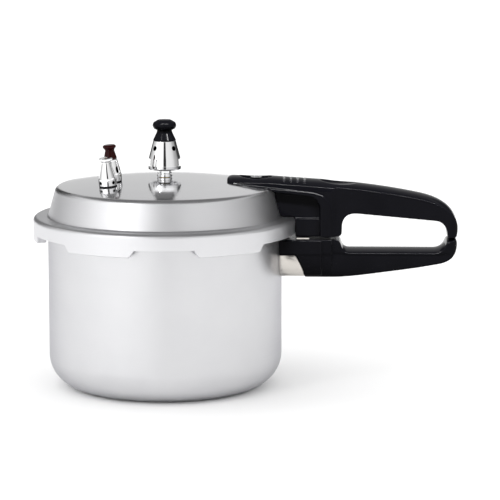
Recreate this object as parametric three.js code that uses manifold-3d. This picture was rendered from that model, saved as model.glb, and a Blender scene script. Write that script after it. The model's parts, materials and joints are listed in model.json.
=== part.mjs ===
// Stovetop pressure cooker with a turn-and-lock lid, in millimetres, +Z up.
// The origin is the centre of the pot's flat base. Both handles point along +X.
import * as THREE from 'three';
import { mergeVertices } from 'three/addons/utils/BufferGeometryUtils.js';
import Module from 'manifold-3d';

const wasm = await Module();
wasm.setup();

// Round parts: sides of a large ring, a valve and a screw.
const RING_SIDES = 60;
const VALVE_SIDES = 20;
const SCREW_SIDES = 12;
const GAP = 0.3;

// Pot.
const POT_RADIUS = 103;
const POT_WALL = 3;
const POT_HEIGHT = 144;
const POT_CORNER = 29;
const BEAD_RADIUS = 105.5;
const BEAD_LOW = 140;

// Locking teeth on the pot and hooks on the lid, which share their angles when locked.
const LOCK_PITCH = 60;
const LOCK_PHASE = 3;
const LOCK_COUNT = 5;
const TOOTH_RADIUS = 111.5;
const TOOTH_LOW = 135.3;
const TOOTH_HIGH = 139.3;
const TOOTH_HALF_ANGLE = 13;
const HOOK_HALF_ANGLE = 15;
const HOOK_RADIUS = 106.5;
const HOOK_LOW = 131;
const HOOK_HIGH = 134;

// Lid.
const LID_WALL = 2.5;
const SKIRT_RADIUS = 115.6;
const SKIRT_CORNER = 3;
const NOTCH_Z = 136;
const FLANGE_Z = 151.4;
const DOME_FOOT_RADIUS = 102.6;
const DOME_SHOULDER_RADIUS = 98.2;
const DOME_SHOULDER_Z = 168;
const DOME_EDGE_RADIUS = 94.5;
const APEX_Z = 185;
const DOME_SPHERE = 572;

// Gasket between the pot's mouth and the lid's flange.
const GASKET_LOW = 144.3;
const GASKET_HIGH = 148.6;
const GASKET_INNER = 99.6;
const GASKET_OUTER = 112.7;

// Weight valve on the pot's axis. Heights are above the dome's apex.
const NUT_RADIUS = 6.6;
const BELL_LOW = 6.7;
const BELL_BAND = 16.3;
const BELL_RADIUS = 15;
const BELL_TOP = 32;
const BELL_TOP_RADIUS = 10.1;
const BELL_HOLE_Z = 26;
const BELL_HOLE_RADIUS = 2.1;
const KNOB_TOP = 50.9;
const CHAMBER = { low: 207.5, high: 213, radius: 5.5 };
const STUD_RADIUS = 2.5;
const PIPE_RADIUS = 5;
const PIPE_TIP_Z = 205;
const UNDER_APEX = APEX_Z - LID_WALL;

// Small valves: where they stand on the dome.
const SAFETY_AT = [-46.6, -38];
const RELEASE_AT = [-44.6, -18];
const VALVE_STEM = 4.2;
const SEAT = 1.5;

// Handles, seen from the side: X along the handle, Z up.
const HANDLE_HALF_WIDTH = 21;
const TOP_HALF_WIDTH = 18;
const LOWER_HALF_WIDTH = 23;
const GRIP_HALF_WIDTH = 17.5;
const GRIP_FROM_X = 148;
const ROOT_TO_X = 142;
const WEB_HALF_WIDTH = 13.5;
const POCKET_END_X = 137;
const LOWER_TOP_Z = 132.4;
const GUARD_TOP_Z = 118.9;

// Fastenings.
const BOLT_X = 80.4;
const BOLT_RADIUS = 3;
const RECESS_FLOOR_Z = 181.8;
const DISH_X = 154;
const BRACKET_SCREW_X = 122;
const HANDLE_SCREW_X = 131;

// Pot bracket: a plate that hugs the wall, with a tongue for the handle's screw.
const RIVET_SHANK = 2.5;
const RIVET_HEIGHTS = [106, 125];
const PLATE_INNER = POT_RADIUS + GAP;
const PLATE_OUTER = PLATE_INNER + 2;
const PLATE_HALF_ANGLE = 7;
const TONGUE = { low: 112, high: 115, halfWidth: 7, end: 138 };

// Lid bracket: a strip bent over the flange, its middle line as [x, z], on a flat foot.
const STRIP_THICKNESS = 1.2;
const STRIP_HALF_WIDTH = 10;
const STRIP_MIDDLE = [[99.55, 166.6], [103.9, 153.4], [116.95, 152.6], [116.95, 133.5], [127.2, 133.5]];
const FOOT = { low: 132.9, high: 134.1, from: 116.35, to: 127.2, halfWidth: 19 };
const LID_RIVETS = [-5.5, 5.5];
const LID_RIVET_SHANK = 1.8;
const WALL_AT = { x: 100.27, z: 160.5 };

const FINISHES = {
  satinAluminium: new THREE.MeshStandardMaterial({ color: 0xd6d5d8, roughness: 0.38, metalness: 0.9 }),
  polishedAluminium: new THREE.MeshStandardMaterial({ color: 0xdcdde0, roughness: 0.18, metalness: 1 }),
  bakelite: new THREE.MeshStandardMaterial({ color: 0x151517, roughness: 0.22, metalness: 0 }),
  redBakelite: new THREE.MeshStandardMaterial({ color: 0x3a0f0c, roughness: 0.3, metalness: 0 }),
  chrome: new THREE.MeshStandardMaterial({ color: 0xe6e6e8, roughness: 0.07, metalness: 1 }),
  stainless: new THREE.MeshStandardMaterial({ color: 0xd2cdc6, roughness: 0.3, metalness: 1 }),
  steel: new THREE.MeshStandardMaterial({ color: 0xb4b4b8, roughness: 0.4, metalness: 1 }),
  brass: new THREE.MeshStandardMaterial({ color: 0xb08d4a, roughness: 0.35, metalness: 1 }),
  rubber: new THREE.MeshStandardMaterial({ color: 0x2a2a2c, roughness: 0.85, metalness: 0 }),
};

const radians = THREE.MathUtils.degToRad;
const point = (x, z) => new THREE.Vector2(x, z);

// ---- Solids ---------------------------------------------------------------------------

function signedVolume(positions, corners) {
  const [a, b, c] = [new THREE.Vector3(), new THREE.Vector3(), new THREE.Vector3()];
  let volume = 0;
  for (let i = 0; i < corners.length; i += 3) {
    a.fromArray(positions, 3 * corners[i]);
    b.fromArray(positions, 3 * corners[i + 1]);
    c.fromArray(positions, 3 * corners[i + 2]);
    volume += a.dot(b.cross(c)) / 6;
  }
  return volume;
}

// A closed three.js geometry as a solid: shared corners merged, slivers of no area left out.
function solid(geometry) {
  const bare = new THREE.BufferGeometry();
  bare.setAttribute('position', geometry.getAttribute('position'));
  if (geometry.index) bare.setIndex(geometry.index);
  const merged = mergeVertices(bare, 1e-4);
  const all = merged.getIndex().array;
  const corners = [];
  for (let i = 0; i < all.length; i += 3) {
    const [a, b, c] = [all[i], all[i + 1], all[i + 2]];
    if (a !== b && b !== c && c !== a) corners.push(a, b, c);
  }
  const vertProperties = Float32Array.from(merged.getAttribute('position').array);
  if (signedVolume(vertProperties, corners) < 0) corners.reverse();
  const triVerts = Uint32Array.from(corners);
  return new wasm.Manifold(new wasm.Mesh({ numProp: 3, vertProperties, triVerts }));
}

function surface(body) {
  const { vertProperties, triVerts } = body.getMesh();
  const geometry = new THREE.BufferGeometry();
  geometry.setAttribute('position', new THREE.BufferAttribute(vertProperties, 3));
  geometry.setIndex(new THREE.BufferAttribute(triVerts, 1));
  const faceted = geometry.toNonIndexed();
  faceted.computeVertexNormals();
  return faceted;
}

function piece(name, body, finish) {
  const mesh = new THREE.Mesh(surface(body), finish.clone());
  mesh.name = name;
  return mesh;
}

const without = (body, ...cutters) => cutters.reduce((rest, cutter) => rest.subtract(cutter), body);
const joined = (body, ...others) => others.reduce((whole, other) => whole.add(other), body);

// A profile of (radius, z) points turned about the Z axis.
function turned(profile, sides = VALVE_SIDES) {
  return solid(new THREE.LatheGeometry(profile, sides).rotateX(Math.PI / 2));
}

// A ring's profile closes on itself.
const ring = (profile, sides) => turned([...profile, profile[0].clone()], sides);

function tube(inner, outer, low, high, sides) {
  return ring([point(inner, low), point(outer, low), point(outer, high), point(inner, high)], sides);
}

function rod(radius, low, high, sides = SCREW_SIDES) {
  return turned([point(0, low), point(radius, low), point(radius, high), point(0, high)], sides);
}

function block(x0, x1, halfWidth, z0, z1) {
  const box = new THREE.BoxGeometry(x1 - x0, 2 * halfWidth, z1 - z0);
  return solid(box.translate((x0 + x1) / 2, 0, (z0 + z1) / 2));
}

// An outline in the side view (X, Z), as thick as the handle is wide.
function acrossWidth(shape, halfWidth, curveSegments = 6) {
  const options = { depth: 2 * halfWidth, bevelEnabled: false, curveSegments };
  return solid(new THREE.ExtrudeGeometry(shape, options).rotateX(Math.PI / 2).translate(0, halfWidth, 0));
}

// An outline in the end view (Y, Z), run along the handle.
function alongHandle(shape, x0, x1, curveSegments = 5) {
  const options = { depth: x1 - x0, bevelEnabled: false, curveSegments };
  const geometry = new THREE.ExtrudeGeometry(shape, options).rotateX(Math.PI / 2).rotateZ(Math.PI / 2);
  return solid(geometry.translate(x0, 0, 0));
}

// An outline seen from above (X, Y), between two heights.
function upright(shape, low, high, curveSegments = 6) {
  const options = { depth: high - low, bevelEnabled: false, curveSegments };
  return solid(new THREE.ExtrudeGeometry(shape, options).translate(0, 0, low));
}

// A sector of a ring, seen from above, from one angle to another in degrees.
function sector(inner, outer, from, to, low, high) {
  const shape = new THREE.Shape();
  shape.absarc(0, 0, outer, radians(from), radians(to), false);
  shape.absarc(0, 0, inner, radians(to), radians(from), true);
  return upright(shape, low, high, Math.max(2, Math.ceil((to - from) / 5)));
}

function arc(x, z, radius, from, to, steps) {
  return Array.from({ length: steps + 1 }, (_, i) => {
    const turn = radians(from + ((to - from) * i) / steps);
    return point(x + radius * Math.cos(turn), z + radius * Math.sin(turn));
  });
}

const onSide = (body, x, z) => body.rotate([0, 90, 0]).translate([x, 0, z]);

function hexNut(acrossCorners, bore, low, high) {
  return without(rod(acrossCorners / 2, low, high, 6), rod(bore, low - 1, high + 1));
}

// ---- Pot body -------------------------------------------------------------------------

const lockAngles = Array.from({ length: LOCK_COUNT }, (_, i) => LOCK_PHASE + LOCK_PITCH * (i + 1));

function potBody() {
  const inner = POT_RADIUS - POT_WALL;
  const flat = POT_RADIUS - POT_CORNER;
  let body = turned([
    point(0, 0),
    ...arc(flat, POT_CORNER, POT_CORNER, -90, 0, 5),
    point(POT_RADIUS, BEAD_LOW - 1.5),
    point(BEAD_RADIUS, BEAD_LOW),
    point(BEAD_RADIUS, POT_HEIGHT - 1),
    point(BEAD_RADIUS - 1, POT_HEIGHT),
    point(inner, POT_HEIGHT),
    ...arc(flat, POT_CORNER, POT_CORNER - POT_WALL, 0, -90, 5),
    point(0, POT_WALL),
  ], RING_SIDES);
  for (const angle of lockAngles) {
    const [from, to] = [angle - TOOTH_HALF_ANGLE, angle + TOOTH_HALF_ANGLE];
    body = body.add(sector(POT_RADIUS - 1.5, TOOTH_RADIUS, from, to, TOOTH_LOW, TOOTH_HIGH));
  }
  const rivetHole = rod(RIVET_SHANK + GAP, -8, 8);
  return without(body, ...RIVET_HEIGHTS.map((z) => onSide(rivetHole, POT_RADIUS, z)));
}

function potBracket() {
  const plate = sector(PLATE_INNER, PLATE_OUTER, -PLATE_HALF_ANGLE, PLATE_HALF_ANGLE, 101, 130);
  const tongue = block(PLATE_INNER + 0.5, TONGUE.end, TONGUE.halfWidth, TONGUE.low, TONGUE.high);
  const holes = RIVET_HEIGHTS.map((z) => onSide(rod(RIVET_SHANK + GAP, -8, 8), POT_RADIUS, z));
  const screwHole = rod(2.4, TONGUE.low - 2, TONGUE.high + 2).translate([HANDLE_SCREW_X, 0, 0]);
  return without(plate.add(tongue), ...holes, screwHole);
}

function potRivet(z) {
  const wallInside = POT_RADIUS - POT_WALL;
  const profile = [
    point(0, wallInside - 2.4),
    point(3.6, wallInside - 2),
    point(5, wallInside - 0.7),
    point(RIVET_SHANK, wallInside - 0.7),
    point(RIVET_SHANK, PLATE_OUTER + GAP),
    point(4.4, PLATE_OUTER + GAP),
    point(3.4, PLATE_OUTER + 1.7),
    point(0, PLATE_OUTER + 2),
  ];
  return onSide(turned(profile, SCREW_SIDES), 0, z);
}

// The root of the lower handle narrows downwards, and so does the sleeve in front of it.
function rootSection(topHalf, bottomHalf, low, high, corner) {
  const shape = new THREE.Shape();
  shape.moveTo(-topHalf, high);
  shape.lineTo(topHalf, high);
  shape.lineTo(bottomHalf + 0.6, low + corner);
  shape.quadraticCurveTo(bottomHalf, low, bottomHalf - corner, low);
  shape.lineTo(corner - bottomHalf, low);
  shape.quadraticCurveTo(-bottomHalf, low, -bottomHalf - 0.6, low + corner);
  shape.closePath();
  return shape;
}

// Side view of the space that the flame guard fills, reaching back past the pot's wall.
function guardOutline(grow) {
  const shape = new THREE.Shape();
  shape.moveTo(95, 97);
  shape.lineTo(123.4 + grow, 97);
  shape.quadraticCurveTo(122.2 + grow, 108, 114.9 + grow, GUARD_TOP_Z + grow);
  shape.lineTo(95, GUARD_TOP_Z + grow);
  shape.closePath();
  return shape;
}

function flameGuard() {
  const outer = alongHandle(rootSection(20, 17, 99, GUARD_TOP_Z - GAP, 6), 95, 125);
  const inner = alongHandle(rootSection(19, 16, 100, GUARD_TOP_Z - GAP - 1, 5), 94, 126);
  const sleeve = outer.subtract(inner).intersect(acrossWidth(guardOutline(-GAP), 30));
  const plateNotch = block(100, PLATE_OUTER + 0.7, 13.4, GUARD_TOP_Z - 3, GUARD_TOP_Z + 1);
  return without(sleeve, rod(PLATE_INNER, 90, 130, RING_SIDES), plateNotch);
}

function lowerHandle() {
  const side = new THREE.Shape();
  side.moveTo(100, LOWER_TOP_Z);
  side.lineTo(150.5, LOWER_TOP_Z);
  side.lineTo(153.7, 130.7);
  side.quadraticCurveTo(156.2, 122.3, 162.5, 122.3);
  side.lineTo(237.4, 122.3);
  side.quadraticCurveTo(245, 122.3, 247.8, LOWER_TOP_Z);
  side.lineTo(255, LOWER_TOP_Z);
  side.bezierCurveTo(260.5, 127, 254, 113.5, 240.8, 110.8);
  side.lineTo(221.4, 107.3);
  side.lineTo(179.1, 101.3);
  side.quadraticCurveTo(160, 98.6, 149.2, 98.2);
  side.lineTo(100, 98.2);
  side.closePath();
  const root = rootSection(LOWER_HALF_WIDTH, 16, 98.2, LOWER_TOP_Z, 3);
  const solidHandle = acrossWidth(side, 30)
    .intersect(alongHandle(root, 90, 270))
    .intersect(upright(handlePlan(LOWER_HALF_WIDTH, 95, 257.6, 2), 90, 140));
  const screw = (radius, low, high) => rod(radius, low, high).translate([HANDLE_SCREW_X, 0, 0]);
  return without(
    solidHandle,
    rod(POT_RADIUS + 0.4, 90, 140, RING_SIDES),
    acrossWidth(guardOutline(0), 30),
    block(100, PLATE_OUTER + 0.8, 13.4, 117, 130.5),
    block(100, 109, 5.4, 119, 130.3),
    block(100, TONGUE.end + 0.5, TONGUE.halfWidth + 0.4, TONGUE.low - GAP, TONGUE.high + GAP),
    screw(4.9, TONGUE.high, TONGUE.high + 4.6),
    screw(2.4, 99, TONGUE.high + 6),
    screw(4.9, 97, 103.3),
  );
}

function lowerHandleScrew() {
  return turned([
    point(0, 99.5),
    point(3.8, 99.5),
    point(4.2, 100.4),
    point(4.2, 101.7),
    point(2, 101.7),
    point(2, TONGUE.high + 5),
    point(0, TONGUE.high + 5),
  ], SCREW_SIDES).translate([HANDLE_SCREW_X, 0, 0]);
}

// Plan of a handle: wide at its root, narrower along the grip, with round corners at its tip.
function handlePlan(rootHalfWidth, x0, x1, noseCorner) {
  const tip = 9;
  const shape = new THREE.Shape();
  shape.moveTo(x0, rootHalfWidth - noseCorner);
  shape.quadraticCurveTo(x0, rootHalfWidth, x0 + noseCorner, rootHalfWidth);
  shape.lineTo(ROOT_TO_X, rootHalfWidth);
  shape.lineTo(GRIP_FROM_X, GRIP_HALF_WIDTH);
  shape.lineTo(x1 - tip, GRIP_HALF_WIDTH);
  shape.quadraticCurveTo(x1, GRIP_HALF_WIDTH, x1, GRIP_HALF_WIDTH - tip);
  shape.lineTo(x1, tip - GRIP_HALF_WIDTH);
  shape.quadraticCurveTo(x1, -GRIP_HALF_WIDTH, x1 - tip, -GRIP_HALF_WIDTH);
  shape.lineTo(GRIP_FROM_X, -GRIP_HALF_WIDTH);
  shape.lineTo(ROOT_TO_X, -rootHalfWidth);
  shape.lineTo(x0 + noseCorner, -rootHalfWidth);
  shape.quadraticCurveTo(x0, -rootHalfWidth, x0, noseCorner - rootHalfWidth);
  shape.closePath();
  return shape;
}

// ---- Gasket ---------------------------------------------------------------------------

function gasket() {
  return ring([
    point(GASKET_INNER, GASKET_LOW),
    point(GASKET_OUTER, GASKET_LOW),
    point(GASKET_OUTER, GASKET_HIGH),
    point(GASKET_INNER + 2.5, GASKET_HIGH),
    point(GASKET_INNER, GASKET_HIGH - 1.4),
  ], RING_SIDES);
}

// ---- Lid ------------------------------------------------------------------------------

const domeZ = (radius) => APEX_Z - (DOME_SPHERE - Math.sqrt(DOME_SPHERE ** 2 - radius ** 2));

// The lid's outer outline from the apex to the skirt, moved out by the given clearances.
function lidOutline(overTop, overWall, overFlange, overSkirt) {
  const top = Array.from({ length: 6 }, (_, i) => (DOME_EDGE_RADIUS * i) / 5);
  const corner = {
    x: SKIRT_RADIUS - SKIRT_CORNER + overSkirt,
    z: FLANGE_Z - SKIRT_CORNER + overFlange,
  };
  return [
    ...top.map((radius) => point(radius, domeZ(radius) + overTop)),
    point(DOME_EDGE_RADIUS + 1.6 + overWall, 175.7 + overTop),
    point(DOME_SHOULDER_RADIUS - 1 + overWall, 172.6),
    point(DOME_SHOULDER_RADIUS + overWall, DOME_SHOULDER_Z),
    point(DOME_FOOT_RADIUS - 0.6 + overWall, 154 + overFlange),
    point(DOME_FOOT_RADIUS + 1.4 + overWall, FLANGE_Z + overFlange),
    ...arc(corner.x, corner.z, SKIRT_CORNER, 90, 0, 3),
  ];
}

function lidDome() {
  const inside = Array.from({ length: 5 }, (_, i) => ((DOME_EDGE_RADIUS - 1.5) * (4 - i)) / 4);
  let lid = turned([
    ...lidOutline(0, 0, 0, 0),
    point(SKIRT_RADIUS, HOOK_LOW + 0.8),
    point(SKIRT_RADIUS - 0.8, HOOK_LOW),
    point(HOOK_RADIUS, HOOK_LOW),
    point(HOOK_RADIUS, HOOK_HIGH),
    point(SKIRT_RADIUS - LID_WALL, HOOK_HIGH),
    point(SKIRT_RADIUS - LID_WALL, FLANGE_Z - LID_WALL),
    point(DOME_FOOT_RADIUS - LID_WALL - 0.2, FLANGE_Z - LID_WALL),
    point(DOME_SHOULDER_RADIUS - LID_WALL, DOME_SHOULDER_Z),
    point(DOME_EDGE_RADIUS - 0.6, 173.4),
    ...inside.map((radius) => point(radius, domeZ(radius) - LID_WALL)),
  ], RING_SIDES);
  const edges = [...lockAngles, lockAngles[0] + 360];
  for (let i = 0; i < LOCK_COUNT; i += 1) {
    const [from, to] = [edges[i] + HOOK_HALF_ANGLE, edges[i + 1] - HOOK_HALF_ANGLE];
    lid = lid.subtract(sector(HOOK_RADIUS - 3, SKIRT_RADIUS + 3, from, to, HOOK_LOW - 3, NOTCH_Z));
  }
  const boltHole = rod(BOLT_RADIUS + GAP, 160, 190).translate([BOLT_X, 0, 0]);
  const valveHoles = [SAFETY_AT, RELEASE_AT].map((at) => onDome(rod(VALVE_STEM + GAP, -6, 4), at));
  const rivetHoles = LID_RIVETS.map((y) => onWall(rod(LID_RIVET_SHANK + GAP, -8, 6), y));
  return without(lid, rod(PIPE_RADIUS + GAP, 160, 200, VALVE_SIDES), boltHole, ...valveHoles, ...rivetHoles);
}

// Moves a solid that stands on z = 0 to a place on the dome, square to it.
function onDome(body, [x, y]) {
  return body.rotate(domeTilt([x, y])).translate([x, y, domeZ(Math.hypot(x, y))]);
}

function domeTilt([x, y]) {
  const height = Math.sqrt(DOME_SPHERE ** 2 - x ** 2 - y ** 2);
  const normal = new THREE.Vector3(x, y, height).normalize();
  const turn = new THREE.Quaternion().setFromUnitVectors(new THREE.Vector3(0, 0, 1), normal);
  const euler = new THREE.Euler().setFromQuaternion(turn, 'ZYX');
  return [euler.x, euler.y, euler.z].map(THREE.MathUtils.radToDeg);
}

// Moves a solid that stands on z = 0 to the dome's side wall, square to it.
function onWall(body, y) {
  const lean = Math.atan2(DOME_FOOT_RADIUS - DOME_SHOULDER_RADIUS, DOME_SHOULDER_Z - 152);
  return body.rotate([0, 90 - THREE.MathUtils.radToDeg(lean), 0]).translate([WALL_AT.x, y, WALL_AT.z]);
}

function lidRivet(y) {
  const profile = [
    point(0, -4.8),
    point(2.6, -4.6),
    point(3.4, -3.4),
    point(LID_RIVET_SHANK, -3.4),
    point(LID_RIVET_SHANK, 2.2),
    point(3.2, 2.2),
    point(2.4, 3.2),
    point(0, 3.4),
  ];
  return onWall(turned(profile, SCREW_SIDES), y);
}

// A bent strip seen from the side, as thick as stated, along its middle line.
function stripShape(line, thickness) {
  const middle = line.map(([x, z]) => point(x, z));
  const edge = (side) => middle.map((here, i) => {
    const before = middle[Math.max(i - 1, 0)];
    const after = middle[Math.min(i + 1, middle.length - 1)];
    const into = here.clone().sub(i ? before : after).multiplyScalar(i ? 1 : -1).normalize();
    const out = after.clone().sub(i < middle.length - 1 ? here : before).normalize();
    const square = point(-into.y - out.y, into.x + out.x).normalize();
    const reach = thickness / 2 / Math.max(0.3, square.dot(point(-into.y, into.x)));
    return here.clone().addScaledVector(square, side * reach);
  });
  return new THREE.Shape([...edge(1), ...edge(-1).reverse()]);
}

function lidBracket() {
  const strip = acrossWidth(stripShape(STRIP_MIDDLE, STRIP_THICKNESS), STRIP_HALF_WIDTH);
  const foot = block(FOOT.from, FOOT.to, FOOT.halfWidth, FOOT.low, FOOT.high);
  const screwHole = rod(4, 130, 136).translate([BRACKET_SCREW_X, 0, 0]);
  const rivetHoles = LID_RIVETS.map((y) => onWall(rod(LID_RIVET_SHANK + GAP, -8, 6), y));
  return without(strip.add(foot), screwHole, ...rivetHoles);
}

function bracketScrew() {
  return turned([
    point(0, 132.8),
    point(3.6, 132.8),
    point(3.4, 134.2),
    point(1.9, 135.2),
    point(1.9, 147),
    point(0, 147.6),
  ], SCREW_SIDES).translate([BRACKET_SCREW_X, 0, 0]);
}

function upperHandle() {
  const side = new THREE.Shape();
  side.moveTo(54.7, 181);
  side.lineTo(54.9, 182.9);
  side.quadraticCurveTo(56.5, 185.2, 60, 185.2);
  side.lineTo(92.7, 184.8);
  side.lineTo(136.9, 181.9);
  side.quadraticCurveTo(186, 178.4, 224.3, 170.3);
  side.bezierCurveTo(252, 164.5, 260, 149.5, 256, 133);
  side.lineTo(247.8, 134);
  side.bezierCurveTo(248.2, 142, 243, 148.4, 236.6, 149.2);
  side.lineTo(169.8, 155.2);
  side.quadraticCurveTo(155.8, 156.4, 155.8, 143);
  side.lineTo(155.8, 138.5);
  side.quadraticCurveTo(155.2, 135, 152, 135);
  side.lineTo(142.3, 135);
  side.lineTo(141, 134.4);
  side.lineTo(60, 134.4);
  side.closePath();

  const section = new THREE.Shape([
    point(-TOP_HALF_WIDTH, 186),
    point(TOP_HALF_WIDTH, 186),
    point(HANDLE_HALF_WIDTH, 176),
    point(HANDLE_HALF_WIDTH, 134),
    point(-HANDLE_HALF_WIDTH, 134),
    point(-HANDLE_HALF_WIDTH, 176),
  ]);
  const outer = acrossWidth(side, 30, 8)
    .intersect(alongHandle(section, 40, 270))
    .intersect(upright(handlePlan(HANDLE_HALF_WIDTH, 54.7, 258.2, 14), 120, 190));

  const clearOfLid = turned([
    ...lidOutline(0.4, 0.5, 1.6, 1.2),
    point(SKIRT_RADIUS + 1.2, 100),
    point(0, 100),
  ], RING_SIDES);
  const stripSide = stripShape(STRIP_MIDDLE.slice(0, 4), STRIP_THICKNESS + 0.8);
  const stripRoom = acrossWidth(stripSide, STRIP_HALF_WIDTH + 0.4);
  const rivetRoom = onWall(block(-4.2, 4.2, 9.4, 0, 4), 0);
  const pocket = acrossWidth(pocketOutline(), 30).subtract(block(80, 150, WEB_HALF_WIDTH, 120, 190));
  const recess = new THREE.Shape().absellipse(BOLT_X, 0, 14, 11, 0, 2 * Math.PI);
  const dish = solid(new THREE.SphereGeometry(1, 20, 12).scale(16.5, 11, 4).translate(DISH_X, 0, 181.3));
  const rib = (x) => block(x - 1, x + 1, 15, 182, topZ(x) + 0.7);
  return without(
    joined(outer, ...[105, 111, 117, 123].map(rib)),
    clearOfLid,
    pocket,
    stripRoom,
    rivetRoom,
    upright(recess, RECESS_FLOOR_Z, 190, 10),
    dish,
    rod(BOLT_RADIUS + GAP, 170, 190).translate([BOLT_X, 0, 0]),
    rod(2.2, 130, 148.4).translate([BRACKET_SCREW_X, 0, 0]),
    turned([point(0, 133), point(3.9, 133), point(3.9, 134.5), point(2.2, 135.6), point(0, 135.6)])
      .translate([BRACKET_SCREW_X, 0, 0]),
  );
}

// Side view of the pockets under the hood, one on each side of the handle's web.
function pocketOutline() {
  const shape = new THREE.Shape();
  shape.moveTo(80, 130);
  shape.lineTo(80, 176.8);
  shape.lineTo(126, 170.9);
  shape.quadraticCurveTo(POCKET_END_X, 169, POCKET_END_X, 156);
  shape.lineTo(POCKET_END_X, 130);
  shape.closePath();
  return shape;
}

// The handle's top line between the nose and the grip.
const topZ = (x) => 184.8 - ((x - 92.7) * 2.9) / 44.2;

function handleBolt() {
  return turned([
    point(0, 172.4),
    point(5.2, 172.4),
    point(6, 173.2),
    point(6, 175.4),
    point(BOLT_RADIUS, 175.4),
    point(BOLT_RADIUS, 185.7),
    point(BOLT_RADIUS - 0.6, 186.3),
    point(0, 186.3),
  ], SCREW_SIDES).translate([BOLT_X, 0, 0]);
}

// ---- Vent and weight ------------------------------------------------------------------

function ventPipe() {
  return ring([
    point(1.5, 170),
    point(4, 170),
    point(4, UNDER_APEX - 4.9),
    point(8.5, UNDER_APEX - 4.4),
    point(8.5, UNDER_APEX - 1.8),
    point(PIPE_RADIUS, UNDER_APEX - 1.8),
    point(PIPE_RADIUS, APEX_Z + 5.6),
    point(3.4, APEX_Z + 7.2),
    point(3.4, PIPE_TIP_Z - 2),
    point(2.3, PIPE_TIP_Z),
    point(1.5, PIPE_TIP_Z),
  ]);
}

function ventCollar() {
  const middle = APEX_Z + 3.3;
  return ring([
    point(PIPE_RADIUS + GAP, APEX_Z + GAP),
    point(NUT_RADIUS, APEX_Z + GAP),
    point(NUT_RADIUS, middle - 0.8),
    point(NUT_RADIUS - 0.7, middle),
    point(NUT_RADIUS, middle + 0.8),
    point(NUT_RADIUS, APEX_Z + BELL_LOW - 0.9),
    point(NUT_RADIUS - 0.5, APEX_Z + BELL_LOW - 0.4),
    point(PIPE_RADIUS + GAP, APEX_Z + BELL_LOW - 0.4),
  ]);
}

function antiClogCover() {
  const cup = ring([
    point(4.4, 176),
    point(11, 176),
    point(11, 165),
    point(10, 165),
    point(10, 175),
    point(4.4, 175),
  ]);
  const slot = solid(new THREE.BoxGeometry(30, 2.4, 6).translate(0, 0, 169));
  return without(cup, ...[0, 60, 120].map((angle) => slot.rotate([0, 0, angle])));
}

function weightBell() {
  const z = (height) => APEX_Z + height;
  const bell = ring([
    point(STUD_RADIUS + GAP, CHAMBER.high),
    point(CHAMBER.radius, CHAMBER.high),
    point(CHAMBER.radius, CHAMBER.low),
    point(4.1, CHAMBER.low - 1.2),
    point(4.1, z(13.4)),
    point(10.5, z(12.4)),
    point(10.5, z(BELL_LOW)),
    point(BELL_RADIUS - 0.3, z(BELL_LOW)),
    point(BELL_RADIUS, z(BELL_LOW + 0.4)),
    point(BELL_RADIUS, z(BELL_BAND)),
    point(BELL_RADIUS - 0.5, z(BELL_BAND + 0.6)),
    point(BELL_TOP_RADIUS, z(BELL_TOP)),
    point(STUD_RADIUS + GAP, z(BELL_TOP)),
  ]);
  const hole = onSide(rod(BELL_HOLE_RADIUS, 4, 20), 0, z(BELL_HOLE_Z));
  return without(bell, ...[45, 135, 225, 315].map((angle) => hole.rotate([0, 0, angle])));
}

function weightNeedle() {
  return turned([
    point(0, 203.4),
    point(0.7, 203.6),
    point(2, 207.6),
    point(4.4, 208.6),
    point(4.4, 212.6),
    point(STUD_RADIUS, 212.6),
    point(STUD_RADIUS, 226),
    point(0, 226),
  ], SCREW_SIDES);
}

function weightKnob() {
  const z = (height) => APEX_Z + height;
  return turned([
    point(0, 226.5),
    point(STUD_RADIUS + GAP, 226.5),
    point(STUD_RADIUS + GAP, z(BELL_TOP + GAP)),
    point(BELL_TOP_RADIUS, z(BELL_TOP + GAP)),
    point(9.7, z(33.2)),
    point(7.1, z(38.8)),
    point(6.5, z(41.2)),
    point(7.6, z(42.1)),
    point(9.6, z(43.2)),
    point(10.4, z(45.3)),
    point(9.9, z(47.6)),
    point(7.8, z(49.6)),
    point(4, z(50.7)),
    point(0, z(KNOB_TOP)),
  ]);
}

// ---- Small valves, each standing on z = 0 before it goes to its place on the dome ------

// A helical compression spring: a round wire on a helix, its ends cut square.
class Helix extends THREE.Curve {
  constructor(radius, low, high, turns) {
    super();
    Object.assign(this, { radius, low, high, turns });
  }

  getPoint(t, target = new THREE.Vector3()) {
    const angle = 2 * Math.PI * this.turns * t;
    const z = THREE.MathUtils.lerp(this.low, this.high, t);
    return target.set(this.radius * Math.cos(angle), this.radius * Math.sin(angle), z);
  }
}

function spring(radius, wire, low, high, turns) {
  const section = new THREE.Shape().absarc(0, 0, wire, 0, 2 * Math.PI, false);
  const extrudePath = new Helix(radius, low + wire, high - wire, turns);
  return solid(new THREE.ExtrudeGeometry(section, { extrudePath, steps: 10 * turns, curveSegments: 3 }));
}

function sideHoles(radius, height, reach, from) {
  const hole = onSide(rod(radius, 2, reach), 0, height);
  return [0, 90, 180, 270].map((angle) => hole.rotate([0, 0, from + angle]));
}

function safetyValveBody() {
  const body = ring([
    point(1.8, -9),
    point(VALVE_STEM, -9),
    point(VALVE_STEM, GAP),
    point(7.9, GAP),
    point(7.9, 6.6),
    point(7.5, 7.2),
    point(3.7, 21.5),
    point(5.6, 22.4),
    point(5.6, 24.6),
    point(5.2, 25),
    point(1.6, 25),
    point(1.6, 15),
    point(3.6, 15),
    point(3.6, SEAT),
    point(1.8, SEAT),
  ]);
  return without(body, ...sideHoles(1.5, 3.8, 12, 43));
}

function safetyPoppet() {
  return turned([
    point(0, SEAT + GAP),
    point(3.2, SEAT + GAP),
    point(3.2, SEAT + 2),
    point(1.3, SEAT + 2),
    point(1.3, 24.4),
    point(0, 24.6),
  ], SCREW_SIDES);
}

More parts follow.
